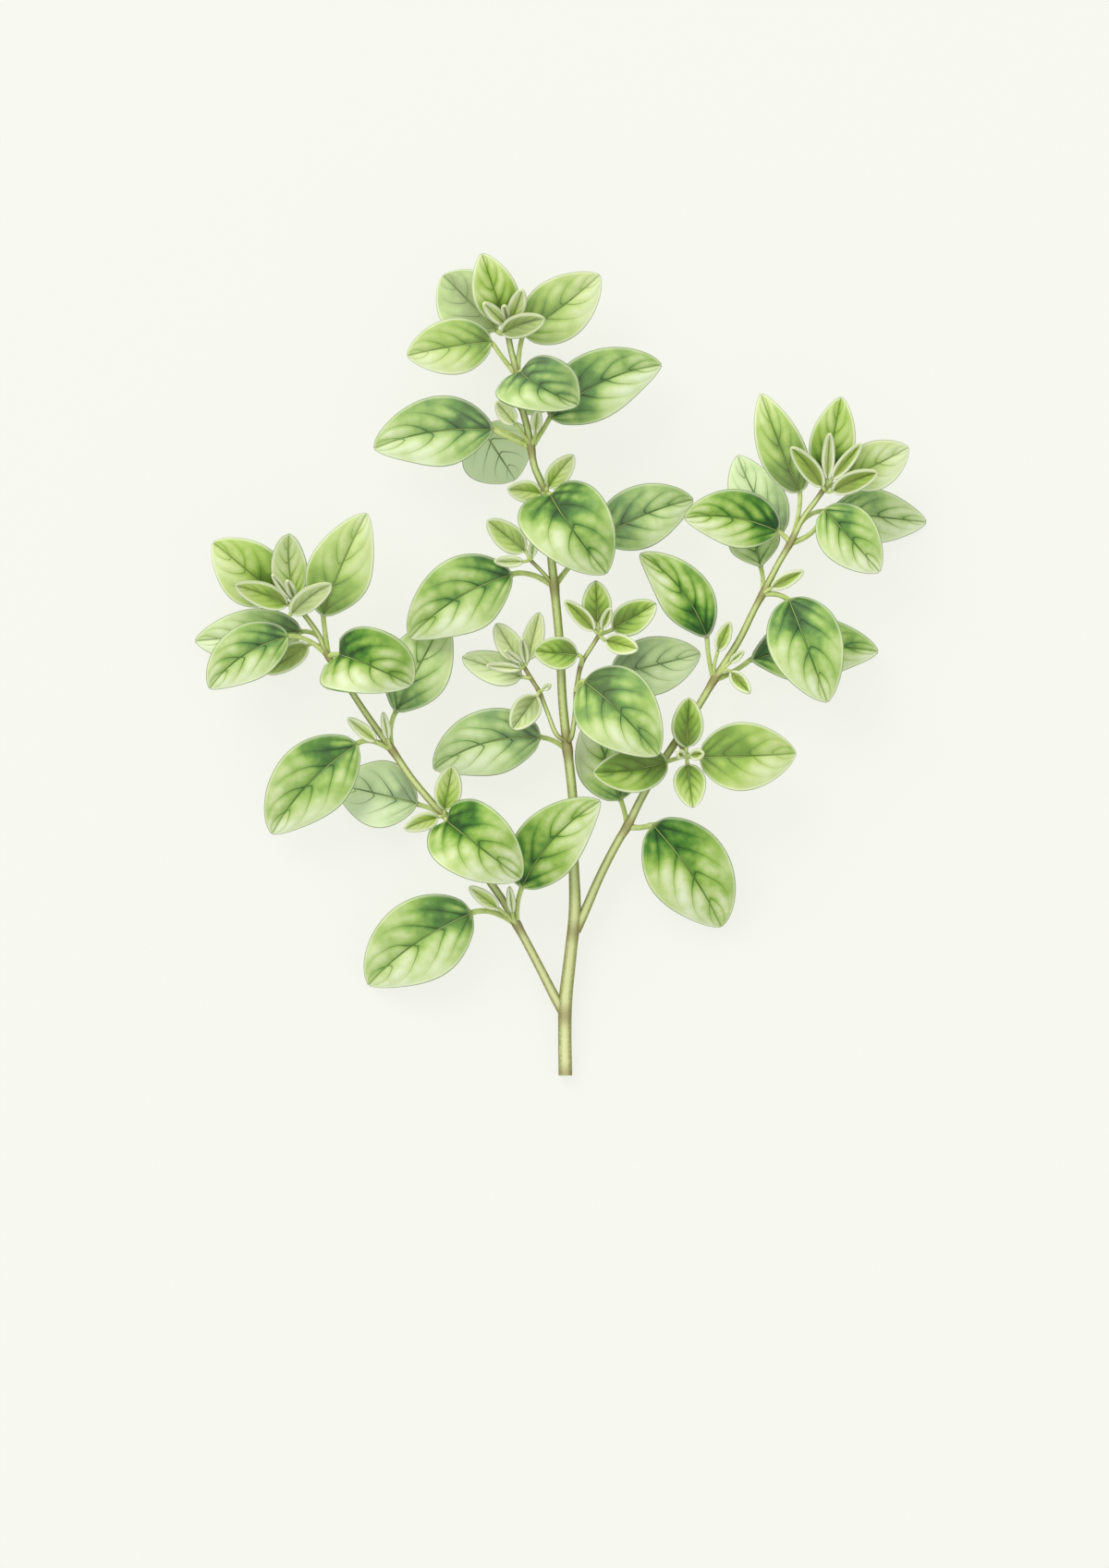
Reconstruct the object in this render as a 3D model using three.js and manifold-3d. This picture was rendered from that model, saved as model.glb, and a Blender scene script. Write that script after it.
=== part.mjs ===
// A cut sprig of sweet marjoram (Origanum majorana), lying on its back on a table.
//
// Six leafy stems: a main stem, a branch to either side, and three short side shoots. Each is one
// solid, its leaves fused to the stem that they grow from. Millimetres, +Z up off the table, and
// +Y the way the sprig grows. The origin is on the table, under the middle of the sprig.
import * as THREE from "three";
import { mergeVertices } from "three/addons/utils/BufferGeometryUtils.js";
import Module from "manifold-3d";

const wasm = await Module();
wasm.setup();

// ---------- driving dimensions, mm ----------

const BLADE_THICKNESS = 0.66; // measured square to the surface, so a folded blade is no thinner
const BLADE_FOLD = 20; // degrees that each half of a grown blade rises from its midrib
const YOUNG_FOLD = 38; // the same on the boat-shaped leaves at a shoot's tip
const BLADE_CURL = 0.24; // how far the margins turn back down, as a share of the half width
const BLADE_ARCH = 0.1; // how far a grown blade bows up along its length, as a share of it
const WIDEST_AT = 0.42; // where an ovate blade is widest, as a share of its length
const OUTLINE_POWER = 0.74; // lower makes a blade rounder at its base and tip
const USUAL_LOBE = 0.02; // how far the margins reach back past the base, as a share of its length
const LOBE_START = 0.05; // how far along the blade they have reached back the most
const TIP_HALF_WIDTH = 0.3;
const GROWN_WIDTH = 7; // a blade at least this wide is a grown one
const SMALL_WIDTH = 3; // a blade narrower than this is a bud leaf
const BLADE_GRIDS = { bud: [3, 2], small: [4, 4], grown: [7, 4] }; // steps along, strips across
const PETIOLE_HALF_WIDTH = 0.3; // of a leaf of no width, and it grows with the blade
const PETIOLE_PER_WIDTH = 0.016;
const PETIOLE_DEPTH = 0.8; // its depth over its width, though it is never thinner than a blade
const PETIOLE_BEND = 0.45; // how far back from the blade it turns, as a share of its own length
const CORNERS_ROUND = 0.45; // the way round a leaf's section to its second upper corner
const STEM_FLAT = 0.94; // a stem is square with blunt corners: its flats' distance over its radius
const STEM_BLUNT = 0.5; // half the width of a flat over the radius
const CLEARANCE = 0.3; // between the foot of a branch and the stem that bears it
const SLIVER = 0.02; // edges shorter than this are merged after fusing

const UP = new THREE.Vector3(0, 0, 1);
const GROWTH = new THREE.Vector3(0, 1, 0);

// ---------- the six leafy stems ----------
// axis: x, y, z, radius, and the name of the leaf joint at that point, if it has one.
// leaves: name, joint, base of the blade, tip of the blade, width, and what sets it apart: roll
// turns it about its length, in degrees, fold, arch and lobe replace the usual ones, veer bends it
// sideways, as a share of its length, turn is a point that its petiole bends towards, skew is how
// far one half is ahead of the other, as a share of its width, and wedge replaces OUTLINE_POWER at
// its base.
// upward is what a stem's upper flat faces, if not UP.

const LEAFY_STEMS = [
  {
    name: "main_stem",
    colour: 0x8fb04a,
    axis: [
      [0.8, -73.9, 1.28, 1.36],
      [0.7, -66.2, 1.4, 1.33],
      [0.8, -60.6, 2.2, 1.36],
      [1.8, -51.2, 3.6, 1.22],
      [2.5, -44.2, 4.8, 1.22],
      [2.3, -34.6, 6.0, 1.0],
      [2.2, -24.6, 7.2, 0.93],
      [1.2, -14.9, 8.2, 0.95, "c1"],
      [0.3, -6.2, 8.8, 0.88],
      [-0.2, 3.8, 9.4, 0.85],
      [-1.2, 14.6, 10.0, 0.88, "c3"],
      [-2.0, 22.1, 10.4, 0.78],
      [-2.8, 31.2, 10.8, 0.8, "c4"],
      [-4.8, 36.3, 11.0, 0.7],
      [-5.4, 39.6, 11.1, 0.76, "c5"],
      [-6.1, 43.3, 11.3, 0.7],
      [-7.1, 47.1, 11.6, 0.66],
      [-7.8, 52.4, 12.0, 0.68, "c6"],
      [-9.0, 57.1, 12.4, 0.6],
      [-9.7, 61.0, 13.0, 0.6, "top"],
    ],
    twigs: [
      [
        [-1.2, 14.6, 10.0, 0.42],
        [-3.2, 17.0, 11.2, 0.38],
        [-5.6, 19.4, 12.2, 0.34, "axil"],
      ],
    ],
    leaves: [
      ["c1_left", "c1", [-3.8, -12.6, 5.8], [-22.9, -18.3, 2.6], 12.2, { roll: -8, veer: -0.11 }],
      [
        "c3_left", "c3", [-8.8, 16.8, 10.6], [-27.2, 5.4, 9.0], 13.9,
        { roll: -6, veer: -0.08, wedge: 1 },
      ],
      ["c3_right", "c3", [7.2, 23.4, 8.0], [23.8, 30.4, 6.2], 11.4, { roll: 8, veer: 0.06 }],
      [
        "c4_front", "c4", [-1.9, 31.0, 13.0], [8.0, 16.8, 17.0], 15.4,
        { veer: -0.03, arch: 0.36, fold: 28, lobe: 0.16, skew: -0.2 },
      ],
      ["c4_back", "c4", [-0.6, 29.0, 7.6], [6.3, 18.4, 1.6], 10.4, { arch: 0.04 }],
      ["c4_small_left", "c4", [-3.6, 31.3, 12.2], [-9.6, 32.0, 13.4], 4.2, { roll: -20 }],
      ["c4_small_right", "c4", [-2.3, 32.4, 12.2], [2.2, 38.1, 14.0], 4.4, { roll: 18 }],
      [
        "c5_left", "c5", [-12.2, 42.8, 11.4], [-33.6, 39.6, 8.8], 12.8,
        { roll: -8, veer: -0.07, turn: [-9.2, 41.4, 11.2], wedge: 1.05 },
      ],
      [
        "c5_right", "c5", [-1.9, 45.1, 11.0], [18.0, 54.6, 9.0], 12.2,
        { roll: 8, veer: 0.09, turn: [-2.8, 43.4, 11.0] },
      ],
      [
        "c5_back", "c5", [-14.5, 43.6, 6.4], [-8.4, 34.4, 0.2], 13.6,
        { arch: 0.05, turn: [-10.0, 43.2, 9.0] },
      ],
      ["c5_small_left", "c5", [-8.3, 43.9, 12.4], [-11.6, 47.7, 14.2], 3.4],
      ["c5_small_right", "c5", [-4.6, 42.4, 12.4], [-4.2, 46.3, 14.2], 2.2],
      [
        "c6_front", "c6", [-7.2, 53.2, 13.6], [2.9, 46.9, 17.5], 12.0,
        { veer: -0.07, arch: 0.42, fold: 26, lobe: 0.16, skew: -0.55 },
      ],
      ["c6_back", "c6", [-7.2, 52.0, 8.6], [-2.2, 47.2, 2.0], 8.4, { arch: 0.04 }],
      [
        "top_left", "c6", [-12.6, 58.6, 12.6], [-27.6, 56.2, 10.4], 10.2,
        { roll: -8, veer: -0.03, turn: [-10.6, 55.7, 12.0] },
      ],
      ["top_back_left", "top", [-11.7, 61.0, 8.8], [-21.3, 71.4, 0.2], 12.6, { arch: 0.05 }],
      ["top_upper", "top", [-10.2, 62.4, 13.8], [-14.2, 74.1, 16.5], 8.2, { fold: 26 }],
      [
        "top_right", "c6", [-6.7, 60.0, 12.6], [6.9, 70.6, 11.5], 11.2,
        { roll: 8, veer: -0.01, turn: [-7.8, 57.0, 12.2] },
      ],
      ["top_inner_left", "top", [-10.0, 61.6, 15.0], [-13.8, 65.1, 19.0], 2.6],
      ["top_inner_right", "top", [-8.9, 62.0, 15.2], [-6.9, 67.4, 19.8], 3.2],
      ["top_front", "top", [-10.6, 60.0, 15.2], [-3.0, 62.3, 20.0], 4.6, { roll: 28 }],
      ["top_bud", "top", [-9.6, 62.3, 15.4], [-10.2, 64.6, 19.6], 1.5],
      ["axil_upper", "axil", [-6.5, 21.0, 12.4], [-13.2, 26.4, 13.6], 5.0],
      ["axil_lower", "axil", [-6.9, 19.0, 13.0], [-11.9, 19.0, 15.0], 2.2],
      ["axil_right", "axil", [-5.2, 19.9, 12.8], [-5.0, 22.6, 15.0], 1.8],
    ],
  },
  {
    name: "left_branch",
    colour: 0x93b44c,
    borneBy: "main_stem",
    axis: [
      [0.8, -61.2, 2.1, 0.95],
      [-1.2, -59.4, 2.6, 0.98],
      [-4.3, -53.4, 4.0, 0.86],
      [-8.0, -46.4, 5.6, 0.84, "l1"],
      [-10.3, -42.4, 6.4, 0.78],
      [-13.0, -38.4, 7.2, 0.78],
      [-16.5, -32.9, 8.0, 0.76],
      [-20.5, -27.1, 8.8, 0.78, "l2"],
      [-22.5, -25.2, 9.0, 0.72],
      [-26.7, -20.3, 9.4, 0.7],
      [-30.5, -14.8, 9.8, 0.74, "l3"],
      [-33.7, -10.4, 10.0, 0.66],
      [-36.5, -6.3, 10.2, 0.62],
      [-39.2, -2.1, 10.4, 0.6],
      [-42.0, 2.1, 10.6, 0.64, "l4"],
      [-43.7, 5.9, 11.0, 0.52],
      [-45.7, 8.8, 11.8, 0.5],
      [-47.2, 10.8, 12.8, 0.5, "top"],
    ],
    leaves: [
      ["l1_left", "l1", [-16.2, -44.4, 6.2], [-34.8, -57.4, 2.0], 15.2, { roll: -6, veer: -0.07 }],
      ["l1_right", "l1", [-7.0, -39.6, 9.2], [7.0, -24.1, 11.5], 12.0, { roll: 6, veer: 0.09 }],
      ["l1_bud_left", "l1", [-11.4, -43.4, 8.2], [-16.5, -39.6, 9.8], 2.8],
      ["l1_bud_right", "l1", [-8.8, -44.2, 8.0], [-9.3, -39.6, 9.8], 1.6],
      [
        "l2_front", "l2", [-20.6, -27.6, 11.4], [-7.3, -37.9, 14.5], 13.8,
        { arch: 0.38, fold: 28, lobe: 0.22, skew: -0.12 },
      ],
      ["l2_upper", "l2", [-20.9, -25.6, 10.8], [-19.6, -17.8, 13.2], 5.0],
      ["l2_left", "l2", [-22.2, -27.0, 10.4], [-28.2, -29.1, 11.8], 3.4, { roll: -18 }],
      ["l2_back", "l2", [-26.0, -24.6, 5.0], [-40.6, -21.2, 1.0], 12.4, { roll: 6, wedge: 1 }],
      [
        "l3_left", "l3", [-36.8, -13.8, 10.2], [-52.2, -29.9, 5.4], 13.6,
        { roll: -6, veer: -0.07, wedge: 0.85 },
      ],
      ["l3_right", "l3", [-29.9, -8.0, 7.6], [-21.0, 9.2, 3.6], 12.0, { wedge: 1.2 }],
      ["l3_bud_left", "l3", [-33.4, -13.2, 11.0], [-38.3, -9.2, 12.8], 2.6],
      ["l3_bud_right", "l3", [-31.2, -12.8, 11.2], [-32.0, -8.2, 13.0], 1.6],
      [
        "l4_front", "l4", [-39.9, 2.3, 13.0], [-27.0, -3.2, 16.0], 13.4,
        { veer: 0.02, arch: 0.4, fold: 30, lobe: 0.24, skew: -0.5 },
      ],
      [
        "l4_left", "l4", [-49.2, 5.6, 11.4], [-63.3, -3.7, 8.6], 10.2,
        { roll: -6, veer: -0.1, turn: [-45.6, 5.9, 10.9] },
      ],
      ["l4_back_left", "l4", [-47.0, 6.6, 5.6], [-66.4, 5.0, 0.2], 9.8, { arch: 0.02 }],
      ["l4_back_low", "l4", [-45.8, 4.0, 8.4], [-53.3, -0.8, 6.4], 4.4, { arch: 0.05, fold: 15 }],
      [
        "top_left", "top", [-50.8, 12.6, 11.8], [-62.5, 22.4, 13.0], 11.6,
        { roll: -8, veer: -0.02 },
      ],
      ["top_upper", "top", [-47.9, 12.8, 13.6], [-48.7, 23.8, 17.0], 6.6, { veer: 0.05, fold: 28 }],
      [
        "top_right", "l4", [-42.8, 9.2, 11.6], [-35.0, 27.6, 12.0], 11.8,
        { roll: 10, veer: 0.04, turn: [-42.4, 5.6, 10.8], wedge: 1.1 },
      ],
      ["top_inner_left", "top", [-49.2, 11.2, 14.8], [-58.3, 14.6, 17.8], 4.8, { roll: -20 }],
      ["top_front", "top", [-48.4, 9.6, 15.2], [-41.2, 14.8, 20.0], 4.6, { roll: 30 }],
      ["top_bud_left", "top", [-48.6, 12.4, 15.8], [-51.6, 16.4, 19.8], 1.5],
      ["top_bud_right", "top", [-47.8, 12.3, 15.6], [-49.0, 15.4, 19.4], 1.8],
    ],
  },
  {
    name: "right_branch",
    colour: 0x93b44c,
    borneBy: "main_stem",
    axis: [
      [2.4, -46.0, 4.5, 0.92],
      [4.5, -43.8, 5.0, 0.95],
      [7.3, -37.2, 6.1, 0.85],
      [10.4, -31.2, 7.1, 0.82],
      [12.0, -28.6, 7.5, 0.84, "r1"],
      [14.5, -23.6, 8.0, 0.78],
      [17.5, -18.3, 8.6, 0.76],
      [21.0, -12.9, 9.2, 0.78],
      [25.0, -6.6, 9.8, 0.72],
      [27.6, -2.2, 10.1, 0.76, "r3"],
      [29.6, 0.9, 10.3, 0.7],
      [32.2, 5.1, 10.5, 0.68],
      [35.0, 10.8, 10.8, 0.66],
      [36.3, 13.2, 11.0, 0.7, "r4"],
      [39.2, 18.8, 11.3, 0.62],
      [41.3, 22.4, 11.6, 0.64, "r5"],
      [43.5, 26.8, 12.0, 0.54],
      [45.7, 29.8, 12.6, 0.52],
      [47.4, 32.2, 13.2, 0.5, "top"],
    ],
    leaves: [
      [
        "r1_right", "r1", [16.6, -28.4, 8.0], [29.0, -46.8, 2.4], 15.2,
        { roll: 6, veer: 0.05, turn: [14.2, -29.3, 7.9] },
      ],
      ["r1_back", "r1", [10.8, -23.8, 5.2], [5.4, -8.8, 1.6], 11.5, { arch: 0.05 }],
      [
        "r3_left", "r3", [26.3, 5.4, 10.8], [14.3, 20.4, 10.2], 9.6,
        { roll: -6, veer: -0.1, turn: [26.4, 1.6, 10.4], wedge: 1.1 },
      ],
      [
        "r3_right", "r3", [34.2, 1.4, 7.4], [57.4, 3.0, 3.0], 12.0,
        { veer: 0.06, arch: 0.06, turn: [31.0, -1.2, 9.0], wedge: 1.3 },
      ],
      ["r3_bud_upper", "r3", [28.3, 3.0, 11.4], [30.3, 8.1, 13.6], 2.8],
      ["r3_bud_right", "r3", [30.5, 0.9, 11.4], [32.8, 2.8, 13.0], 1.5],
      ["r3_bud_lower", "r3", [30.6, -0.8, 11.2], [34.0, -4.6, 12.6], 2.8],
      [
        "r4_front", "r4", [41.0, 12.2, 12.4], [47.8, -6.2, 14.5], 13.4,
        { arch: 0.13, turn: [39.0, 13.6, 11.6] },
      ],
      ["r4_bud", "r4", [37.9, 14.3, 12.2], [43.5, 17.2, 14.6], 2.7],
      ["r4_back", "r4", [36.1, 18.2, 8.2], [33.4, 28.8, 5.8], 9.4, { wedge: 1.5 }],
      ["r5_left", "r5", [39.0, 24.5, 12.2], [22.3, 26.9, 11.4], 10.6, { roll: -8, veer: -0.09 }],
      ["r5_back_left", "r5", [40.0, 24.4, 5.4], [32.2, 38.6, 1.0], 9.8, { veer: 0.05, arch: 0.04 }],
      [
        "r5_right", "r5", [47.4, 28.4, 12.4], [57.2, 17.2, 13.0], 10.6,
        { turn: [46.4, 23.6, 10.4] },
      ],
      [
        "r5_back_right", "r5", [48.6, 28.4, 5.4], [66.3, 26.6, 0.2], 10.0,
        { arch: 0.02, wedge: 1.2 },
      ],
      [
        "top_left", "r5", [43.0, 31.6, 12.4], [36.0, 49.1, 13.5], 8.6,
        { roll: -10, turn: [43.2, 27.2, 11.8] },
      ],
      ["top_upper", "top", [47.5, 34.6, 14.0], [50.3, 48.4, 16.0], 8.2, { fold: 26 }],
      ["top_right", "top", [51.2, 33.9, 12.6], [62.5, 39.6, 11.0], 8.8, { roll: 8 }],
      ["top_inner_left", "top", [46.9, 32.4, 15.4], [41.2, 39.2, 20.0], 3.8, { roll: -26 }],
      ["top_inner_upper", "top", [47.8, 33.8, 15.8], [48.0, 41.6, 21.0], 2.4],
      ["top_inner_right", "top", [48.7, 33.8, 16.0], [53.6, 39.8, 21.0], 2.6],
      ["top_front", "top", [48.8, 31.6, 15.2], [56.6, 34.8, 18.8], 4.0, { roll: 22 }],
    ],
  },
  {
    name: "front_shoot",
    colour: 0xa3c552,
    borneBy: "right_branch",
    upward: GROWTH,
    axis: [
      [21.0, -12.9, 9.2, 0.55],
      [21.8, -14.4, 12.0, 0.5],
      [22.5, -15.8, 14.6, 0.5, "top"],
    ],
    leaves: [
      ["left", "top", [19.0, -17.0, 13.2], [5.9, -18.9, 12.6], 8.4, { roll: -6, veer: 0.03 }],
      ["upper", "top", [22.5, -14.4, 15.2], [23.0, -5.6, 15.6], 5.8],
      ["right", "top", [25.0, -16.2, 14.2], [42.2, -15.5, 11.8], 12.4, { roll: 4 }],
      ["lower", "top", [22.7, -17.4, 15.2], [23.7, -25.2, 14.6], 5.9],
      ["bud_left", "top", [22.0, -16.0, 16.4], [20.9, -15.4, 19.0], 1.8],
      ["bud_right", "top", [23.2, -15.9, 16.4], [25.5, -15.5, 18.8], 2.2],
    ],
  },
  {
    name: "right_shoot",
    colour: 0x9dbf4f,
    borneBy: "main_stem",
    axis: [
      [1.1, -13.6, 8.3, 0.55],
      [1.9, -12.4, 10.3, 0.52],
      [2.5, -8.4, 11.2, 0.48],
      [2.8, -4.2, 11.6, 0.48, "s1"],
      [3.6, 0.4, 12.0, 0.44, "s2"],
      [5.6, 3.8, 13.2, 0.42],
      [7.0, 6.0, 14.4, 0.42, "top"],
    ],
    leaves: [
      ["s1_front", "s1", [4.2, -2.6, 13.8], [17.3, -15.8, 18.0], 14.6, { veer: 0.03, arch: 0.2 }],
      ["s1_back", "s1", [9.3, -1.2, 8.4], [25.1, 2.6, 5.6], 10.6, { roll: 6 }],
      ["s2_left", "s2", [3.0, 2.2, 13.8], [-4.8, 2.9, 14.0], 6.0, { fold: 26 }],
      ["top_upper", "top", [6.6, 8.0, 15.2], [6.2, 15.4, 16.5], 5.4],
      ["top_right", "top", [9.3, 6.8, 14.8], [17.0, 11.4, 15.2], 6.0],
      ["top_left", "top", [5.9, 6.6, 15.2], [0.7, 11.8, 17.2], 3.2, { roll: -20 }],
      ["top_lower", "top", [8.0, 4.8, 15.2], [13.8, 3.2, 16.4], 3.8],
      ["bud", "top", [7.4, 6.8, 16.4], [8.8, 10.4, 20.0], 1.9],
    ],
  },
  {
    name: "left_shoot",
    colour: 0xa9c77b,
    borneBy: "main_stem",
    axis: [
      [1.1, -13.4, 8.6, 0.5],
      [-0.7, -12.2, 9.2, 0.46],
      [-2.4, -8.2, 8.6, 0.42],
      [-3.9, -4.4, 8.1, 0.42, "p1"],
      [-5.5, -1.8, 8.1, 0.38, "p2"],
      [-6.8, 0.4, 8.2, 0.38, "top"],
    ],
    leaves: [
      ["p1_lower", "p1", [-4.4, -5.2, 9.2], [-8.8, -11.1, 10.4], 5.2],
      ["p1_bud", "p1", [-3.2, -3.9, 9.0], [-2.0, -3.2, 10.6], 1.2],
      ["p2_left", "p2", [-7.2, -1.6, 8.0], [-17.8, 1.9, 6.6], 6.0],
      ["top_upper_left", "top", [-7.6, 1.4, 8.6], [-11.7, 7.9, 9.0], 4.6],
      ["top_upper_right", "top", [-5.9, 1.6, 8.0], [-3.9, 10.0, 7.0], 4.0],
      ["top_inner_right", "top", [-6.3, 0.8, 9.4], [-7.0, 5.2, 12.4], 1.7],
      ["top_inner_left", "top", [-7.4, -0.2, 9.4], [-13.3, 0.3, 12.4], 1.9],
      ["bud", "top", [-7.2, 0.9, 9.6], [-10.0, 3.0, 12.6], 1.5],
    ],
  },
];

// ---------- skins and solids ----------

const point = ([x, y, z]) => new THREE.Vector3(x, y, z);
const RADIANS = Math.PI / 180;

/** A manifold-3d solid from points and triangles that close on themselves. */
function solidFrom(points, triangles) {
  const vertProperties = new Float32Array(points.flatMap((p) => [p.x, p.y, p.z]));
  return new wasm.Manifold(
    new wasm.Mesh({ numProp: 3, vertProperties, triVerts: new Uint32Array(triangles) }),
  );
}

/** A three.js geometry from a manifold-3d solid. */
function geometryFrom(solid) {
  const { vertProperties, triVerts } = solid.getMesh();
  const geometry = new THREE.BufferGeometry()
    .setAttribute("position", new THREE.Float32BufferAttribute(vertProperties, 3))
    .setIndex(Array.from(triVerts));
  return mergeVertices(geometry);
}

/** The way round a ring to the middle of its side i. */
function middleOf(ring, i) {
  if (i >= ring.length) return Infinity;
  return (ring[i].round + (ring[i + 1]?.round ?? 1)) / 2;
}

/**
 * Triangles between two rings, which may differ in how many points they have. Between equal rings
 * the diagonals run forward and outward from a leaf's midrib, alike on its upper and lower face.
 */
function stitch(near, far, start, triangles) {
  let [i, j] = [0, 0];
  while (i < near.length || j < far.length) {
    const [nearMiddle, farMiddle] = [middleOf(near, i), middleOf(far, j)];
    const from = start + (i % near.length);
    const to = start + near.length + (j % far.length);
    const inward = nearMiddle % 0.5 < CORNERS_ROUND / 2;
    if (nearMiddle < farMiddle || (nearMiddle === farMiddle && inward)) {
      i += 1;
      triangles.push(from, start + (i % near.length), to);
    } else {
      j += 1;
      triangles.push(from, start + near.length + (j % far.length), to);
    }
  }
}

/** A closed skin over rings of points, each ring turning left about the way on. */
function skinOver(rings) {
  const triangles = [];
  let start = 0;
  for (const [i, ring] of rings.slice(0, -1).entries()) {
    stitch(ring, rings[i + 1], start, triangles);
    start += ring.length;
  }
  const capped = (first, count, flip) => {
    for (let k = 0; k < count / 2 - 1; k++) {
      const [a, b, c, d] = [k, k + 1, count - 2 - k, count - 1 - k].map((n) => first + n);
      triangles.push(...(flip ? [a, c, b, a, d, c] : [a, b, c, a, c, d]));
    }
  };
  capped(0, rings[0].length, true);
  capped(start, rings.at(-1).length, false);
  return solidFrom(rings.flat().map(({ at }) => at), triangles);
}

/** The corners of a square stem's section with blunt corners, turning left about the way on. */
const STEM_SECTION = [
  [STEM_FLAT, -STEM_BLUNT],
  [STEM_FLAT, STEM_BLUNT],
  [STEM_BLUNT, STEM_FLAT],
  [-STEM_BLUNT, STEM_FLAT],
  [-STEM_FLAT, STEM_BLUNT],
  [-STEM_FLAT, -STEM_BLUNT],
  [-STEM_BLUNT, -STEM_FLAT],
  [STEM_BLUNT, -STEM_FLAT],
];

/** A stem or twig along its axis points, thicker by extra all round. */
function stemAlong({ axis, upward = UP }, extra = 0) {
  const curve = new THREE.CatmullRomCurve3(axis.map(point));
  const rings = axis.map(([, , , radius], i) => {
    const centre = curve.getPoint(i / (axis.length - 1));
    const along = curve.getTangent(i / (axis.length - 1));
    const side = upward.clone().cross(along).setLength(radius + extra);
    const rise = along.clone().cross(side);
    return STEM_SECTION.map(([a, b], k) => ({
      at: centre.clone().addScaledVector(side, a).addScaledVector(rise, b),
      round: k / STEM_SECTION.length,
    }));
  });
  return skinOver(rings);
}

// ---------- leaves ----------

/** Everything that a leaf's surface is worked out from. */
function leafForm([name, joint, base, tip, width, apart = {}], joints) {
  const [root, from, to] = [joints.get(joint), point(base), point(tip)];
  const along = to.clone().sub(from).normalize();
  const length = from.distanceTo(to);
  const face = UP.clone().addScaledVector(along, -along.z).normalize();
  face.applyAxisAngle(along, (apart.roll ?? 0) * RADIANS);
  const grown = width >= GROWN_WIDTH;
  const bow = (apart.arch ?? (grown ? BLADE_ARCH : -BLADE_ARCH)) * length;
  const middle = from.clone().lerp(to, 0.5).addScaledVector(face, 2 * bow);
  middle.addScaledVector(face.clone().cross(along), 2 * (apart.veer ?? 0) * length);
  const midrib = new THREE.QuadraticBezierCurve3(from, middle, to);
  const back = -PETIOLE_BEND * root.distanceTo(from);
  const turn = apart.turn
    ? point(apart.turn)
    : from.clone().addScaledVector(midrib.getTangent(0), back);
  return {
    name,
    width,
    grown,
    face,
    midrib,
    petiole: new THREE.QuadraticBezierCurve3(root, turn, from),
    wedge: apart.wedge ?? OUTLINE_POWER,
    stalk: PETIOLE_HALF_WIDTH + PETIOLE_PER_WIDTH * width,
    shape: {
      rise: Math.sin((apart.fold ?? (grown ? BLADE_FOLD : YOUNG_FOLD)) * RADIANS),
      curl: BLADE_CURL,
      lobe: (apart.lobe ?? USUAL_LOBE) * length,
      skew: apart.skew ?? 0,
    },
  };
}

/** Half the blade's width at s, from 0 at its base to 1 at its tip. */
function halfWidth(leaf, s) {
  const power = Math.log(0.5) / Math.log(WIDEST_AT);
  const roundness = THREE.MathUtils.lerp(leaf.wedge, OUTLINE_POWER, s);
  const outline = Math.sin(Math.PI * s ** power) ** roundness;
  const end = THREE.MathUtils.lerp(leaf.stalk, TIP_HALF_WIDTH, s);
  return Math.max((leaf.width / 2) * outline, end);
}

/** The shape of a petiole and of a blade's two ends. */
const FLAT = { rise: 0, curl: 0, lobe: 0, skew: 0 };

/** One ring of a leaf: t runs across from -1 to 1 in so many strips, on both faces. */
function leafRing(leaf, curve, s, strips, half, depth, { rise, curl, lobe, skew }) {
  const along = curve.getTangent(s);
  const normal = leaf.face.clone().addScaledVector(along, -leaf.face.dot(along)).normalize();
  const across = normal.clone().cross(along);
  const [upper, lower] = [[], []];
  for (let k = 0; k <= strips; k++) {
    const t = (2 * k) / strips - 1;
    const lift = half * (rise * Math.abs(t) - curl * t * t);
    const thick = depth * Math.hypot(1, rise - 2 * curl * Math.abs(t));
    const back = lobe * (1 - s) ** 3 * t * t * Math.min(s / LOBE_START, 1);
    const at = curve.getPoint(s).addScaledVector(across, t * half).addScaledVector(normal, lift);
    at.addScaledVector(along, -skew * t * half - back);
    const above = at.clone().addScaledVector(normal, thick);
    const below = at.clone().addScaledVector(normal, -thick);
    if (at.z < thick) {
      below.z = 0; // what would sink into the table lies flat on it
      above.z = 2 * thick;
    }
    upper.unshift({ at: above, round: ((1 - t) / 2) * CORNERS_ROUND });
    lower.push({ at: below, round: 0.5 + ((1 + t) / 2) * CORNERS_ROUND });
  }
  return [...upper, ...lower];
}

/** A whole leaf: its petiole from inside the stem, and its blade. */
function leafSolid(leaf) {
  const kind = leaf.width < SMALL_WIDTH ? "bud" : leaf.grown ? "grown" : "small";
  const [long, strips] = BLADE_GRIDS[kind];
  const thin = BLADE_THICKNESS / 2;
  const deep = Math.max(thin, PETIOLE_DEPTH * leaf.stalk);
  const rings = [0, 0.5].map((s) => leafRing(leaf, leaf.petiole, s, 1, leaf.stalk, deep, FLAT));
  rings.push(leafRing(leaf, leaf.midrib, 0, 1, leaf.stalk, thin, FLAT));
  for (let i = 1; i < long; i++) {
    const s = (1 - Math.cos((Math.PI * i) / long)) / 2;
    const half = halfWidth(leaf, s);
    rings.push(leafRing(leaf, leaf.midrib, s, strips, half, thin, leaf.shape));
  }
  rings.push(leafRing(leaf, leaf.midrib, 1, 1, TIP_HALF_WIDTH, thin, FLAT));
  return skinOver(rings);
}

// ---------- the sprig ----------

/** The named points of a stem's axis and of its twigs, where leaves join. */
function jointsOf(axes) {
  const named = axes.flat().filter((p) => p.length > 4);
  return new Map(named.map((p) => [p[4], point(p)]));
}

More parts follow.
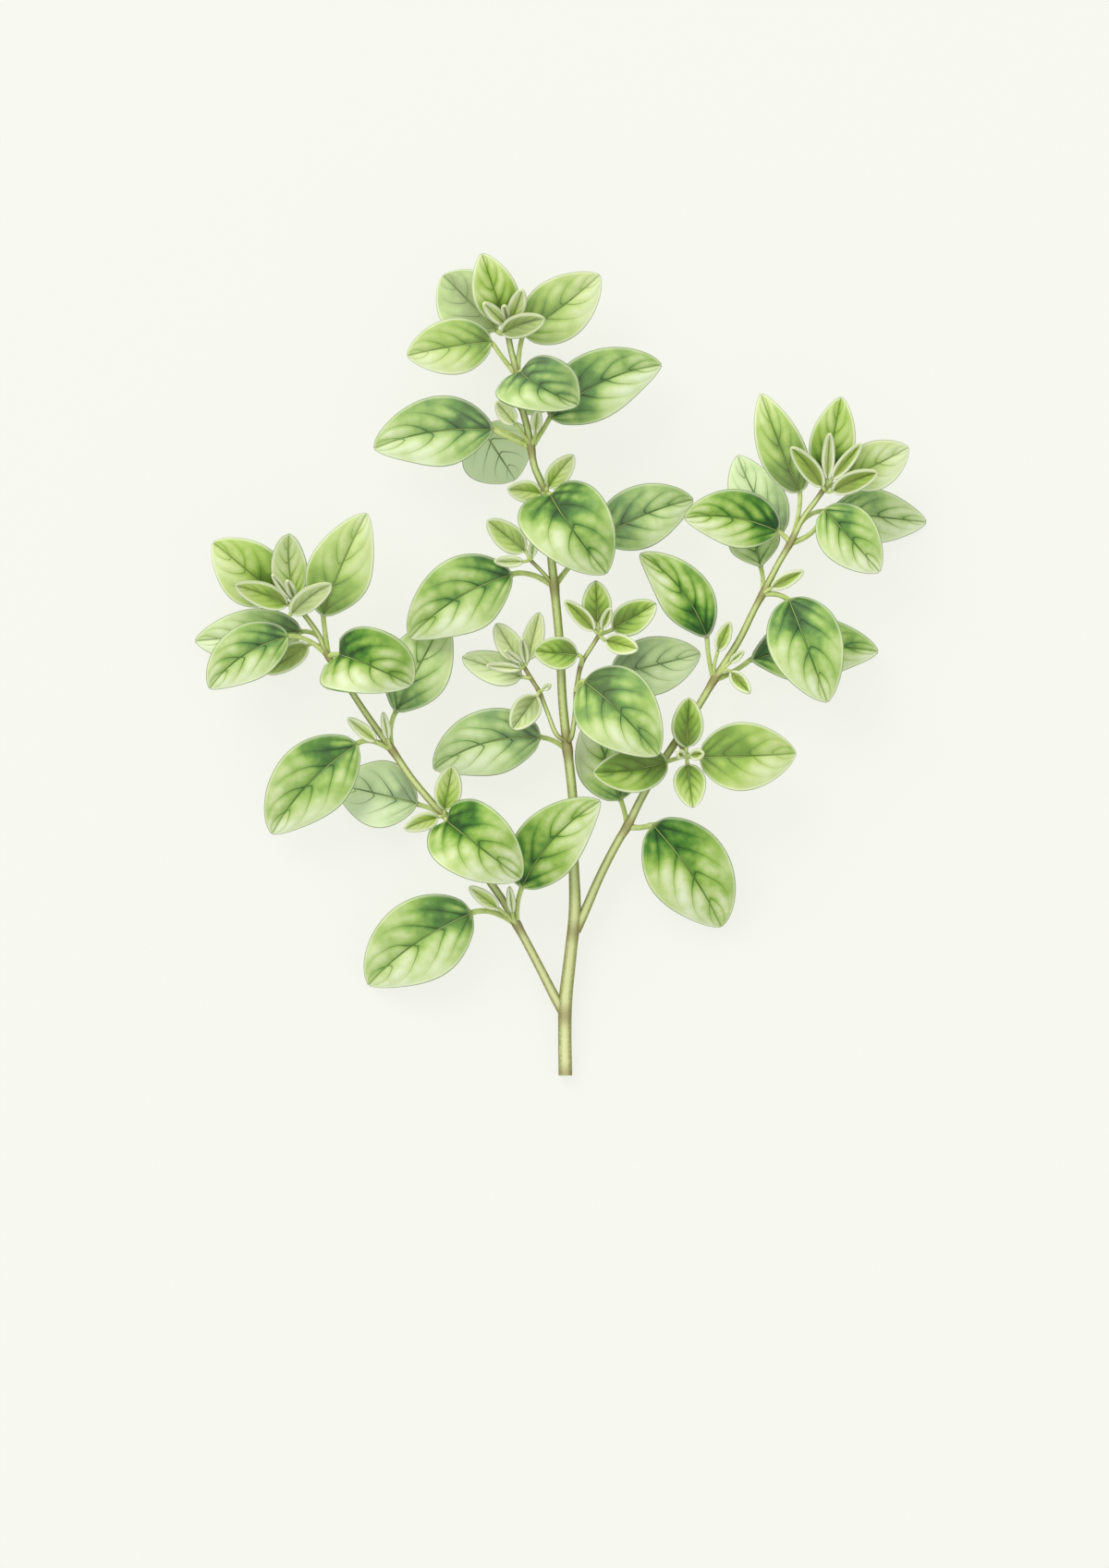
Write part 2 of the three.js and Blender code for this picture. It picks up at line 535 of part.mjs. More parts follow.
/** One leafy stem: its stem, twigs and leaves fused, and its foot cut clear. */
function leafyStem(stem) {
  const twigs = stem.twigs ?? [];
  const joints = jointsOf([stem.axis, ...twigs]);
  const fused = wasm.Manifold.union([
    stemAlong(stem),
    ...twigs.map((axis) => stemAlong({ axis })),
    ...stem.leaves.map((row) => leafSolid(leafForm(row, joints))),
  ]);
  const bearer = LEAFY_STEMS.find((other) => other.name === stem.borneBy);
  const clear = bearer ? fused.subtract(stemAlong(bearer, CLEARANCE)) : fused;
  const whole = clear.decompose().sort((a, b) => b.volume() - a.volume())[0];
  return whole.simplify(SLIVER);
}

const sprig = new THREE.Group();
sprig.name = "marjoram_sprig";
for (const stem of LEAFY_STEMS) {
  const material = new THREE.MeshStandardMaterial({ color: stem.colour, roughness: 0.6 });
  const mesh = new THREE.Mesh(geometryFrom(leafyStem(stem)), material);
  mesh.name = stem.name;
  sprig.add(mesh);
}

export default sprig;
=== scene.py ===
# %% [markdown]
# # A cut sprig of sweet marjoram
#
# Sweet marjoram is a soft, downy kitchen herb. Its leaves stand in pairs on thin square stems, and
# small new leaves sit in the angles between a leaf and its stem. This sprig has been cut and laid
# on its back on a pale table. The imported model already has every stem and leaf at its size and
# place as a plain solid, so the first step is to load it and to keep its box as a measure.

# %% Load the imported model
import math
from dataclasses import dataclass
from random import Random

import bpy
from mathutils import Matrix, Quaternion, Vector, noise


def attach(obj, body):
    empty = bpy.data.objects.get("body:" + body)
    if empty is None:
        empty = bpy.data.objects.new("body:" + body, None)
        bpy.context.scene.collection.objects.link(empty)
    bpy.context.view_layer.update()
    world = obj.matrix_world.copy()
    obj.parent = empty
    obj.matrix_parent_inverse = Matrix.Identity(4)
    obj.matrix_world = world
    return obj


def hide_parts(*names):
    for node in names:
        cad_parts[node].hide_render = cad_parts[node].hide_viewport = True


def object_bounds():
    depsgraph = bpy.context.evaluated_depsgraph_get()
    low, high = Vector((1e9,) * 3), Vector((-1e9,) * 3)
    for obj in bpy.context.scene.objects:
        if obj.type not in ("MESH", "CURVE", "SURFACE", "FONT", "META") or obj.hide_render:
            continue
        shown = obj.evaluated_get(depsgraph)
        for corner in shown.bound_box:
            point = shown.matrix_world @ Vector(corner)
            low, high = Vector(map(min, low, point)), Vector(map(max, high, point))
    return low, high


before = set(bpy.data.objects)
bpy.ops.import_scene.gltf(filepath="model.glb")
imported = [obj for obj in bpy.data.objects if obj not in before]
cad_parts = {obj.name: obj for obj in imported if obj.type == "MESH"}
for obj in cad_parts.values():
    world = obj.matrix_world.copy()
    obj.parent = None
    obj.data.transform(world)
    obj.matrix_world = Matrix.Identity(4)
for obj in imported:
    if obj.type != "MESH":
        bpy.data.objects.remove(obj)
cad_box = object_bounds()
MM = 0.001  # metres in a millimetre
cad_size = [(high - low) / MM for low, high in zip(*cad_box)]
print("CAD nodes:", sorted(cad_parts))
print("CAD box in mm:", [round(side, 1) for side in cad_size])

# %% [markdown]
# ## The camera
#
# A sprig on a table is looked at from straight above. A long lens a good way off keeps the raised
# leaves and the low ones at nearly the same scale. With the camera object unturned it looks down
# and the sprig grows towards the top of the frame. Blender measures the lens against the frame's
# longer side, here its height.

# %% Camera
CAMERA_OVER = (-1.17 * MM, -21.0 * MM)  # the point of the table under the lens
CAMERA_HEIGHT = 1.21
LEAF_LEVEL = 0.01  # metres above the table, the level that the framing is worked out for
FRAME_HEIGHT = 0.2828  # metres of that level that the long side of the frame covers
SENSOR_MM = 36

bpy.ops.object.camera_add(location=(*CAMERA_OVER, CAMERA_HEIGHT), rotation=(0, 0, 0))
camera = bpy.context.object
camera.name = "camera"
camera.data.sensor_width = SENSOR_MM
camera.data.lens = SENSOR_MM * (CAMERA_HEIGHT - LEAF_LEVEL) / FRAME_HEIGHT
camera.data.clip_end = 10
bpy.context.scene.camera = camera
print("lens in mm:", round(camera.data.lens, 1))

# %% [markdown]
# ## Two helpers for materials
#
# A colour is easiest to write as the hex value that a picture program shows. Blender computes in
# linear light, so one function turns a hex value into that. Another adds a shader node, sets its
# options, and fills its sockets either with a value or with a link from an earlier node.

# %% Colour and node helpers


def linear(colour):
    """An sRGB hex colour as linear red, green, blue and alpha."""
    shares = [int(colour[i : i + 2], 16) / 255 for i in (1, 3, 5)]
    rgb = [s / 12.92 if s <= 0.04045 else ((s + 0.055) / 1.055) ** 2.4 for s in shares]
    return (*rgb, 1.0)


def add(tree, kind, sockets=None, **options):
    """Adds a shader node with its options, and fills its sockets with values or other nodes."""
    node = tree.nodes.new("ShaderNode" + kind)
    for name, value in options.items():
        setattr(node, name, value)
    for name, value in (sockets or {}).items():
        shown = [s for s in node.inputs if s.enabled and s.name == name]
        socket = shown[0] if shown else node.inputs[name]
        if isinstance(value, bpy.types.Node):
            value = next(out for out in value.outputs if out.enabled)
        if isinstance(value, bpy.types.NodeSocket):
            tree.links.new(value, socket)
        else:
            socket.default_value = value
    return node


def new_material(name):
    """An empty material with its output node, and its node tree."""
    material = bpy.data.materials.new(name)
    material.use_nodes = True
    material.node_tree.nodes.clear()
    return material, material.node_tree


print("white is", linear("#ffffff"))

# %% [markdown]
# ## Table top and studio light
#
# A herb that is to be looked at closely is laid on thin card on a light table, under a big soft
# lamp. The card is one plane, roughened very slightly, and its own glow makes the shadows faint.
# The lamp stands at the upper left, so the half of each folded leaf that faces it is bright and the
# other half darker, which is what shows the folds. A pale world all round keeps the rest soft. The
# Standard view transform shows the greens as they are, with no film look.

# %% Table top
CARD_SIZE = 3.0  # metres, so that its edges are out of sight
CARD_DROP = 0.05 * MM  # keeps leaves that lie on the card from sharing its plane
FIBRE = 1.5 * MM  # real fibres are far finer, and this is as fine as shows
CARD_RELIEF = 0.1 * MM
CARD_FINISH = {
    "Base Color": linear("#626260"),
    "Roughness": 0.95,
    "Specular IOR Level": 0.1,
    "Emission Color": linear("#f8f9f0"),
    "Emission Strength": 0.835,
}

bpy.ops.object.select_all(action="DESELECT")
bpy.ops.mesh.primitive_plane_add(size=CARD_SIZE, location=(0, 0, -CARD_DROP))
card = bpy.context.object
card.name = "card"

matt_card, tree = new_material("matt_card")
place = add(tree, "TexCoord").outputs["Object"]
fibres = add(tree, "TexNoise", {"Vector": place, "Scale": 1 / FIBRE, "Detail": 3.0})
relief = add(tree, "Bump", {"Height": fibres, "Strength": 0.15, "Distance": CARD_RELIEF})
paper = add(tree, "BsdfPrincipled", {"Normal": relief, **CARD_FINISH})
add(tree, "OutputMaterial", {"Surface": paper})
card.data.materials.append(matt_card)
print("card nodes:", len(tree.nodes))

# %% World and lamps
# Places and sides are in metres.
KEY_LAMP = {"place": (-1.5, 1.9, 2.1), "side": 2.2, "watts": 62.0, "colour": "#fffbf2"}
FILL_LAMP = {"place": (2.0, -1.2, 2.0), "side": 2.2, "watts": 8.0, "colour": "#f4f7ff"}
WORLD_COLOUR = "#fafbfc"
WORLD_STRENGTH = 0.87

world = bpy.data.worlds.new("studio")
world.use_nodes = True
background = world.node_tree.nodes["Background"]
background.inputs["Color"].default_value = linear(WORLD_COLOUR)
background.inputs["Strength"].default_value = WORLD_STRENGTH
bpy.context.scene.world = world
bpy.context.scene.view_settings.view_transform = "Standard"


def add_lamp(name, lamp):
    """A square soft lamp that faces the sprig."""
    toward_sprig = -Vector(lamp["place"])
    turn = toward_sprig.to_track_quat("-Z", "Y").to_euler()
    bpy.ops.object.light_add(type="AREA", location=lamp["place"], rotation=turn)
    light = bpy.context.object
    light.name = name
    light.data.size = lamp["side"]
    light.data.energy = lamp["watts"]
    light.data.color = linear(lamp["colour"])[:3]


add_lamp("key_lamp", KEY_LAMP)
add_lamp("fill_lamp", FILL_LAMP)

# %% [markdown]
# ## The sprig's measures
#
# Six leafy stems: the main stem, a branch to either side, and three short side shoots. Each axis is
# a list of points: x, y and z in millimetres, the stem's radius there, and the name of the leaf
# joint at that point if it has one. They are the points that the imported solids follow, but for the
# feet of the two branches, which run on here into the stem that bears them.

# %% The stems' axes
AXES = {
    "main_stem": [
        (0.8, -73.9, 1.28, 1.36),
        (0.7, -66.2, 1.4, 1.33),
        (0.8, -60.6, 2.2, 1.36),
        (1.8, -51.2, 3.6, 1.22),
        (2.5, -44.2, 4.8, 1.22),
        (2.3, -34.6, 6, 1),
        (2.2, -24.6, 7.2, 0.93),
        (1.2, -14.9, 8.2, 0.95, "c1"),
        (0.3, -6.2, 8.8, 0.88),
        (-0.2, 3.8, 9.4, 0.85),
        (-1.2, 14.6, 10, 0.88, "c3"),
        (-2, 22.1, 10.4, 0.78),
        (-2.8, 31.2, 10.8, 0.8, "c4"),
        (-4.8, 36.3, 11, 0.7),
        (-5.4, 39.6, 11.1, 0.76, "c5"),
        (-6.1, 43.3, 11.3, 0.7),
        (-7.1, 47.1, 11.6, 0.66),
        (-7.8, 52.4, 12, 0.68, "c6"),
        (-9, 57.1, 12.4, 0.6),
        (-9.7, 61, 13, 0.6, "top"),
    ],
    "main_stem.twig": [
        (-1.2, 14.6, 10, 0.42),
        (-3.2, 17, 11.2, 0.38),
        (-5.6, 19.4, 12.2, 0.34, "axil"),
    ],
    "left_branch": [
        (0.5, -62.8, 1.9, 0.9),
        (-1, -59.9, 2.5, 0.98),
        (-4.3, -53.4, 4, 0.86),
        (-8, -46.4, 5.6, 0.84, "l1"),
        (-10.3, -42.4, 6.4, 0.78),
        (-13, -38.4, 7.2, 0.78),
        (-16.5, -32.9, 8, 0.76),
        (-20.5, -27.1, 8.8, 0.78, "l2"),
        (-22.5, -25.2, 9, 0.72),
        (-26.7, -20.3, 9.4, 0.7),
        (-30.5, -14.8, 9.8, 0.74, "l3"),
        (-33.7, -10.4, 10, 0.66),
        (-36.5, -6.3, 10.2, 0.62),
        (-39.2, -2.1, 10.4, 0.6),
        (-42, 2.1, 10.6, 0.64, "l4"),
        (-43.7, 5.9, 11, 0.52),
        (-45.7, 8.8, 11.8, 0.5),
        (-47.2, 10.8, 12.8, 0.5, "top"),
    ],
    "right_branch": [
        (2.8, -47.6, 4.2, 0.9),
        (4.1, -44.6, 4.8, 0.95),
        (7.3, -37.2, 6.1, 0.85),
        (10.4, -31.2, 7.1, 0.82),
        (12, -28.6, 7.5, 0.84, "r1"),
        (14.5, -23.6, 8, 0.78),
        (17.5, -18.3, 8.6, 0.76),
        (21, -12.9, 9.2, 0.78),
        (25, -6.6, 9.8, 0.72),
        (27.6, -2.2, 10.1, 0.76, "r3"),
        (29.6, 0.9, 10.3, 0.7),
        (32.2, 5.1, 10.5, 0.68),
        (35, 10.8, 10.8, 0.66),
        (36.3, 13.2, 11, 0.7, "r4"),
        (39.2, 18.8, 11.3, 0.62),
        (41.3, 22.4, 11.6, 0.64, "r5"),
        (43.5, 26.8, 12, 0.54),
        (45.7, 29.8, 12.6, 0.52),
        (47.4, 32.2, 13.2, 0.5, "top"),
    ],
    "front_shoot": [
        (21, -12.9, 9.2, 0.55),
        (21.8, -14.4, 12, 0.5),
        (22.5, -15.8, 14.6, 0.5, "top"),
    ],
    "right_shoot": [
        (1.1, -13.6, 8.3, 0.55),
        (1.9, -12.4, 10.3, 0.52),
        (2.5, -8.4, 11.2, 0.48),
        (2.8, -4.2, 11.6, 0.48, "s1"),
        (3.6, 0.4, 12, 0.44, "s2"),
        (5.6, 3.8, 13.2, 0.42),
        (7, 6, 14.4, 0.42, "top"),
    ],
    "left_shoot": [
        (1.1, -13.4, 8.6, 0.5),
        (-0.7, -12.2, 9.2, 0.46),
        (-2.4, -8.2, 8.6, 0.42),
        (-3.9, -4.4, 8.1, 0.42, "p1"),
        (-5.5, -1.8, 8.1, 0.38, "p2"),
        (-6.8, 0.4, 8.2, 0.38, "top"),
    ],
}

# %% [markdown]
# ## The leaves' measures
#
# Each leaf gives the base and tip of its blade and its width, in millimetres. It is named for the
# joint that it grows from, or else gives that too. Roll turns it about its own length, in degrees.
# Veer bends it sideways and arch bows it up, both as shares of its length. Fold is how many degrees
# its halves rise from the midrib. Turn is a point that its stalk bends towards. Lobe is how far the
# margins reach back past the base, skew how far one half is ahead of the other, and wedge how
# straight the blade narrows to its base. Pale is how washed out the leaf is: the ones underneath,
# in the shade of the rest, are greyer and lighter. Tone is how much lighter its green is than the
# usual one, or deeper where it is negative.
#
# Shapes and places were chosen one by one. Nearly every tone and about half of the pales were not:
# a helper program worked them out and rounded them.

# %% What a leaf is given by
GROWN_WIDTH = 7  # mm, and a narrower leaf is one of the small new ones


@dataclass
class Leaf:
    """One leaf's measures. Where one is None, the usual one is worked out."""

    name: str
    base: tuple
    tip: tuple
    width: float
    joint: str = None
    roll: float = 0.0
    veer: float = 0.0
    arch: float = None
    fold: float = None
    turn: tuple = None
    pale: float = 0.0
    tone: float = 0.0
    lobe: float = 0.02
    skew: float = 0.0
    wedge: float = None

    def __post_init__(self):
        self.joint = self.joint or self.name.split("_")[0]

    @property
    def grown(self):
        """Whether it is a full-grown leaf, not one of the small new ones."""
        return self.width >= GROWN_WIDTH


print("a leaf is given by:", list(Leaf.__dataclass_fields__))

# %% The leaves
LEAVES = {
    "main_stem": [
        Leaf("c1_left", (-3.8, -12.6, 5.8), (-22.9, -18.3, 2.6), 12.2,
             roll=-8, veer=-0.11, pale=0.4, tone=0.1),
        Leaf("c3_left", (-8.8, 16.8, 10.6), (-27.2, 5.4, 9), 13.9,
             roll=-6, veer=-0.08, pale=0.1, tone=0.1, wedge=1),
        Leaf("c3_right", (7.2, 23.4, 8), (23.8, 30.4, 6.2), 11.4, roll=8, veer=0.06, pale=0.35),
        Leaf("c4_front", (-1.9, 31, 13), (8, 16.8, 17), 15.4,
             veer=-0.03, arch=0.36, fold=28, pale=0.1, lobe=0.16, skew=-0.2),
        Leaf("c4_back", (-0.6, 29, 7.6), (6.3, 18.4, 1.6), 10.4, arch=0.04, pale=0.5),
        Leaf("c4_small_left", (-3.6, 31.3, 12.2), (-9.6, 32, 13.4), 4.2, roll=-20, tone=0.2),
        Leaf("c4_small_right", (-2.3, 32.4, 12.2), (2.2, 38.1, 14), 4.4, roll=18, tone=0.2),
        Leaf("c5_left", (-12.2, 42.8, 11.4), (-33.6, 39.6, 8.8), 12.8,
             roll=-8, veer=-0.07, turn=(-9.2, 41.4, 11.2), pale=0.25, tone=0.1, wedge=1.05),
        Leaf("c5_right", (-1.9, 45.1, 11), (18, 54.6, 9), 12.2,
             roll=8, veer=0.09, turn=(-2.8, 43.4, 11), pale=0.2),
        Leaf("c5_back", (-14.5, 43.6, 6.4), (-8.4, 34.4, 0.2), 13.6,
             arch=0.05, turn=(-10, 43.2, 9), pale=0.95, tone=0.5),
        Leaf("c5_small_left", (-8.3, 43.9, 12.4), (-11.6, 47.7, 14.2), 3.4, pale=0.3, tone=0.5),
        Leaf("c5_small_right", (-4.6, 42.4, 12.4), (-4.2, 46.3, 14.2), 2.2, tone=0.5),
        Leaf("c6_front", (-7.2, 53.2, 13.6), (2.9, 46.9, 17.5), 12,
             veer=-0.07, arch=0.42, fold=26, pale=0.25, tone=-0.1, lobe=0.16, skew=-0.55),
        Leaf("c6_back", (-7.2, 52, 8.6), (-2.2, 47.2, 2), 8.4, arch=0.04, pale=0.3),
        Leaf("top_left", (-12.6, 58.6, 12.6), (-27.6, 56.2, 10.4), 10.2,
             joint="c6", roll=-8, veer=-0.03, turn=(-10.6, 55.7, 12), pale=0.15, tone=0.1),
        Leaf("top_back_left", (-11.7, 61, 8.8), (-21.3, 71.4, 0.2), 12.6, arch=0.05, pale=0.7, tone=-0.4),
        Leaf("top_upper", (-10.2, 62.4, 13.8), (-14.2, 74.1, 16.5), 8.2, fold=26),
        Leaf("top_right", (-6.7, 60, 12.6), (6.9, 70.6, 11.5), 11.2,
             joint="c6", roll=8, veer=-0.01, turn=(-7.8, 57, 12.2), pale=0.2, tone=0.1),
        Leaf("top_inner_left", (-10, 61.6, 15), (-13.8, 65.1, 19), 2.6, pale=0.5),
        Leaf("top_inner_right", (-8.9, 62, 15.2), (-6.9, 67.4, 19.8), 3.2, tone=0.5),
        Leaf("top_front", (-10.6, 60, 15.2), (-3, 62.3, 20), 4.6, roll=28, pale=0.55, tone=-0.5),
        Leaf("top_bud", (-9.6, 62.3, 15.4), (-10.2, 64.6, 19.6), 1.5, pale=0.3, tone=-0.5),
        Leaf("axil_upper", (-6.5, 21, 12.4), (-13.2, 26.4, 13.6), 5, pale=0.25, tone=-0.1),
        Leaf("axil_lower", (-6.9, 19, 13), (-11.9, 19, 15), 2.2, tone=0.5),
        Leaf("axil_right", (-5.2, 19.9, 12.8), (-5, 22.6, 15), 1.8, tone=0.5),
    ],
    "left_branch": [
        Leaf("l1_left", (-16.2, -44.4, 6.2), (-34.8, -57.4, 2), 15.2,
             roll=-6, veer=-0.07, pale=0.1, tone=0.2),
        Leaf("l1_right", (-7, -39.6, 9.2), (7, -24.1, 11.5), 12, roll=6, veer=0.09, tone=0.1),
        Leaf("l1_bud_left", (-11.4, -43.4, 8.2), (-16.5, -39.6, 9.8), 2.8, tone=0.3),
        Leaf("l1_bud_right", (-8.8, -44.2, 8), (-9.3, -39.6, 9.8), 1.6, tone=0.5),
        Leaf("l2_front", (-20.6, -27.6, 11.4), (-7.3, -37.9, 14.5), 13.8,
             arch=0.38, fold=28, tone=0.1, lobe=0.22, skew=-0.12),
        Leaf("l2_upper", (-20.9, -25.6, 10.8), (-19.6, -17.8, 13.2), 5),
        Leaf("l2_left", (-22.2, -27, 10.4), (-28.2, -29.1, 11.8), 3.4, roll=-18, tone=0.2),
        Leaf("l2_back", (-26, -24.6, 5), (-40.6, -21.2, 1), 12.4, roll=6, pale=0.85, tone=0.2, wedge=1),
        Leaf("l3_left", (-36.8, -13.8, 10.2), (-52.2, -29.9, 5.4), 13.6,
             roll=-6, veer=-0.07, pale=0.1, tone=0.1, wedge=0.85),
        Leaf("l3_right", (-29.9, -8, 7.6), (-21, 9.2, 3.6), 12, pale=0.25, tone=0.1, wedge=1.2),
        Leaf("l3_bud_left", (-33.4, -13.2, 11), (-38.3, -9.2, 12.8), 2.6, tone=0.5),
        Leaf("l3_bud_right", (-31.2, -12.8, 11.2), (-32, -8.2, 13), 1.6, tone=0.5),
        Leaf("l4_front", (-39.9, 2.3, 13), (-27, -3.2, 16), 13.4,
             veer=0.02, arch=0.4, fold=30, tone=0.1, lobe=0.24, skew=-0.5),
        Leaf("l4_left", (-49.2, 5.6, 11.4), (-63.3, -3.7, 8.6), 10.2,
             roll=-6, veer=-0.1, turn=(-45.6, 5.9, 10.9), pale=0.15, tone=0.1),
        Leaf("l4_back_left", (-47, 6.6, 5.6), (-66.4, 5, 0.2), 9.8, arch=0.02, pale=0.4, tone=0.2),
        Leaf("l4_back_low", (-45.8, 4, 8.4), (-53.3, -0.8, 6.4), 4.4,
             arch=0.05, fold=15, pale=0.2, tone=-0.5),
        Leaf("top_left", (-50.8, 12.6, 11.8), (-62.5, 22.4, 13), 11.6, roll=-8, veer=-0.02),
        Leaf("top_upper", (-47.9, 12.8, 13.6), (-48.7, 23.8, 17), 6.6, veer=0.05, fold=28, tone=0.2),
        Leaf("top_right", (-42.8, 9.2, 11.6), (-35, 27.6, 12), 11.8,
             joint="l4", roll=10, veer=0.04, turn=(-42.4, 5.6, 10.8), pale=0.15, tone=0.1, wedge=1.1),
        Leaf("top_inner_left", (-49.2, 11.2, 14.8), (-58.3, 14.6, 17.8), 4.8, roll=-20, tone=-0.1),
        Leaf("top_front", (-48.4, 9.6, 15.2), (-41.2, 14.8, 20), 4.6, roll=30, pale=0.8, tone=-0.3),
        Leaf("top_bud_left", (-48.6, 12.4, 15.8), (-51.6, 16.4, 19.8), 1.5, pale=0.6, tone=-0.4),
        Leaf("top_bud_right", (-47.8, 12.3, 15.6), (-49, 15.4, 19.4), 1.8, pale=0.8, tone=-0.5),
    ],
    "right_branch": [
        Leaf("r1_right", (16.6, -28.4, 8), (29, -46.8, 2.4), 15.2,
             roll=6, veer=0.05, turn=(14.2, -29.3, 7.9), tone=0.1),
        Leaf("r1_back", (10.8, -23.8, 5.2), (5.4, -8.8, 1.6), 11.5, arch=0.05, pale=0.2, tone=0.2),
        Leaf("r3_left", (26.3, 5.4, 10.8), (14.3, 20.4, 10.2), 9.6,
             roll=-6, veer=-0.1, turn=(26.4, 1.6, 10.4), wedge=1.1),
        Leaf("r3_right", (34.2, 1.4, 7.4), (57.4, 3, 3), 12,
             veer=0.06, arch=0.06, turn=(31, -1.2, 9), pale=0.1, wedge=1.3),
        Leaf("r3_bud_upper", (28.3, 3, 11.4), (30.3, 8.1, 13.6), 2.8, tone=-0.2),
        Leaf("r3_bud_right", (30.5, 0.9, 11.4), (32.8, 2.8, 13), 1.5, tone=-0.1),
        Leaf("r3_bud_lower", (30.6, -0.8, 11.2), (34, -4.6, 12.6), 2.8, tone=-0.4),
        Leaf("r4_front", (41, 12.2, 12.4), (47.8, -6.2, 14.5), 13.4,
             arch=0.13, turn=(39, 13.6, 11.6), pale=0.1),
        Leaf("r4_bud", (37.9, 14.3, 12.2), (43.5, 17.2, 14.6), 2.7, tone=-0.4),
        Leaf("r4_back", (36.1, 18.2, 8.2), (33.4, 28.8, 5.8), 9.4, pale=0.3, tone=0.2, wedge=1.5),
        Leaf("r5_left", (39, 24.5, 12.2), (22.3, 26.9, 11.4), 10.6, roll=-8, veer=-0.09),
        Leaf("r5_back_left", (40, 24.4, 5.4), (32.2, 38.6, 1), 9.8,
             veer=0.05, arch=0.04, pale=0.75, tone=0.1),
        Leaf("r5_right", (47.4, 28.4, 12.4), (57.2, 17.2, 13), 10.6,
             turn=(46.4, 23.6, 10.4), pale=0.1, tone=0.1),
        Leaf("r5_back_right", (48.6, 28.4, 5.4), (66.3, 26.6, 0.2), 10,
             arch=0.02, pale=0.3, tone=0.1, wedge=1.2),
        Leaf("top_left", (43, 31.6, 12.4), (36, 49.1, 13.5), 8.6,
             joint="r5", roll=-10, turn=(43.2, 27.2, 11.8), pale=0.15, tone=-0.1),
        Leaf("top_upper", (47.5, 34.6, 14), (50.3, 48.4, 16), 8.2, fold=26, tone=-0.1),
        Leaf("top_right", (51.2, 33.9, 12.6), (62.5, 39.6, 11), 8.8, roll=8, pale=0.1, tone=0.3),
        Leaf("top_inner_left", (46.9, 32.4, 15.4), (41.2, 39.2, 20), 3.8, roll=-26, tone=-0.4),
        Leaf("top_inner_upper", (47.8, 33.8, 15.8), (48, 41.6, 21), 2.4, pale=0.7, tone=-0.5),
        Leaf("top_inner_right", (48.7, 33.8, 16), (53.6, 39.8, 21), 2.6, tone=-0.5),
        Leaf("top_front", (48.8, 31.6, 15.2), (56.6, 34.8, 18.8), 4, roll=22, tone=-0.5),
    ],
    "front_shoot": [
        Leaf("left", (19, -17, 13.2), (5.9, -18.9, 12.6), 8.4, joint="top", roll=-6, veer=0.03, tone=-0.3),
        Leaf("upper", (22.5, -14.4, 15.2), (23, -5.6, 15.6), 5.8, joint="top", tone=-0.2),
        Leaf("right", (25, -16.2, 14.2), (42.2, -15.5, 11.8), 12.4, joint="top", roll=4, pale=0.05),
        Leaf("lower", (22.7, -17.4, 15.2), (23.7, -25.2, 14.6), 5.9, joint="top"),
        Leaf("bud_left", (22, -16, 16.4), (20.9, -15.4, 19), 1.8, joint="top", tone=-0.5),
        Leaf("bud_right", (23.2, -15.9, 16.4), (25.5, -15.5, 18.8), 2.2, joint="top", tone=-0.5),
    ],
    "right_shoot": [
        Leaf("s1_front", (4.2, -2.6, 13.8), (17.3, -15.8, 18), 14.6, veer=0.03, arch=0.2, pale=0.15),
        Leaf("s1_back", (9.3, -1.2, 8.4), (25.1, 2.6, 5.6), 10.6, roll=6, pale=0.7),
        Leaf("s2_left", (3, 2.2, 13.8), (-4.8, 2.9, 14), 6, fold=26, tone=-0.1),
        Leaf("top_upper", (6.6, 8, 15.2), (6.2, 15.4, 16.5), 5.4, tone=-0.3),
        Leaf("top_right", (9.3, 6.8, 14.8), (17, 11.4, 15.2), 6, tone=-0.1),
        Leaf("top_left", (5.9, 6.6, 15.2), (0.7, 11.8, 17.2), 3.2, roll=-20, tone=-0.4),
        Leaf("top_lower", (8, 4.8, 15.2), (13.8, 3.2, 16.4), 3.8, tone=-0.1),
        Leaf("bud", (7.4, 6.8, 16.4), (8.8, 10.4, 20), 1.9, joint="top", tone=-0.2),
    ],
    "left_shoot": [
        Leaf("p1_lower", (-4.4, -5.2, 9.2), (-8.8, -11.1, 10.4), 5.2, pale=0.8, tone=-0.5),
        Leaf("p1_bud", (-3.2, -3.9, 9), (-2, -3.2, 10.6), 1.2, pale=0.8, tone=0.5),
        Leaf("p2_left", (-7.2, -1.6, 8), (-17.8, 1.9, 6.6), 6, pale=0.9),
        Leaf("top_upper_left", (-7.6, 1.4, 8.6), (-11.7, 7.9, 9), 4.6, pale=0.8, tone=0.1),
        Leaf("top_upper_right", (-5.9, 1.6, 8), (-3.9, 10, 7), 4, pale=0.8, tone=0.1),
        Leaf("top_inner_right", (-6.3, 0.8, 9.4), (-7, 5.2, 12.4), 1.7, pale=0.8, tone=-0.5),
        Leaf("top_inner_left", (-7.4, -0.2, 9.4), (-13.3, 0.3, 12.4), 1.9, pale=0.8, tone=0.1),
        Leaf("bud", (-7.2, 0.9, 9.6), (-10, 3, 12.6), 1.5, joint="top", pale=0.8, tone=0.5),
    ],
}

print("leaves:", sum(len(leaves) for leaves in LEAVES.values()))

# %% [markdown]
# ## A curve for every stem
#
# A stem is never a chain of straight rods, so its points are joined by one smooth curve. A
# Catmull-Rom curve passes through every point it is given. The centripetal kind, which spaces its
# knots by the square root of the distance, doesn't overshoot where two points lie close together.
# A stem also swells a little at each pair of leaves, which is a small bell curve on its radius.

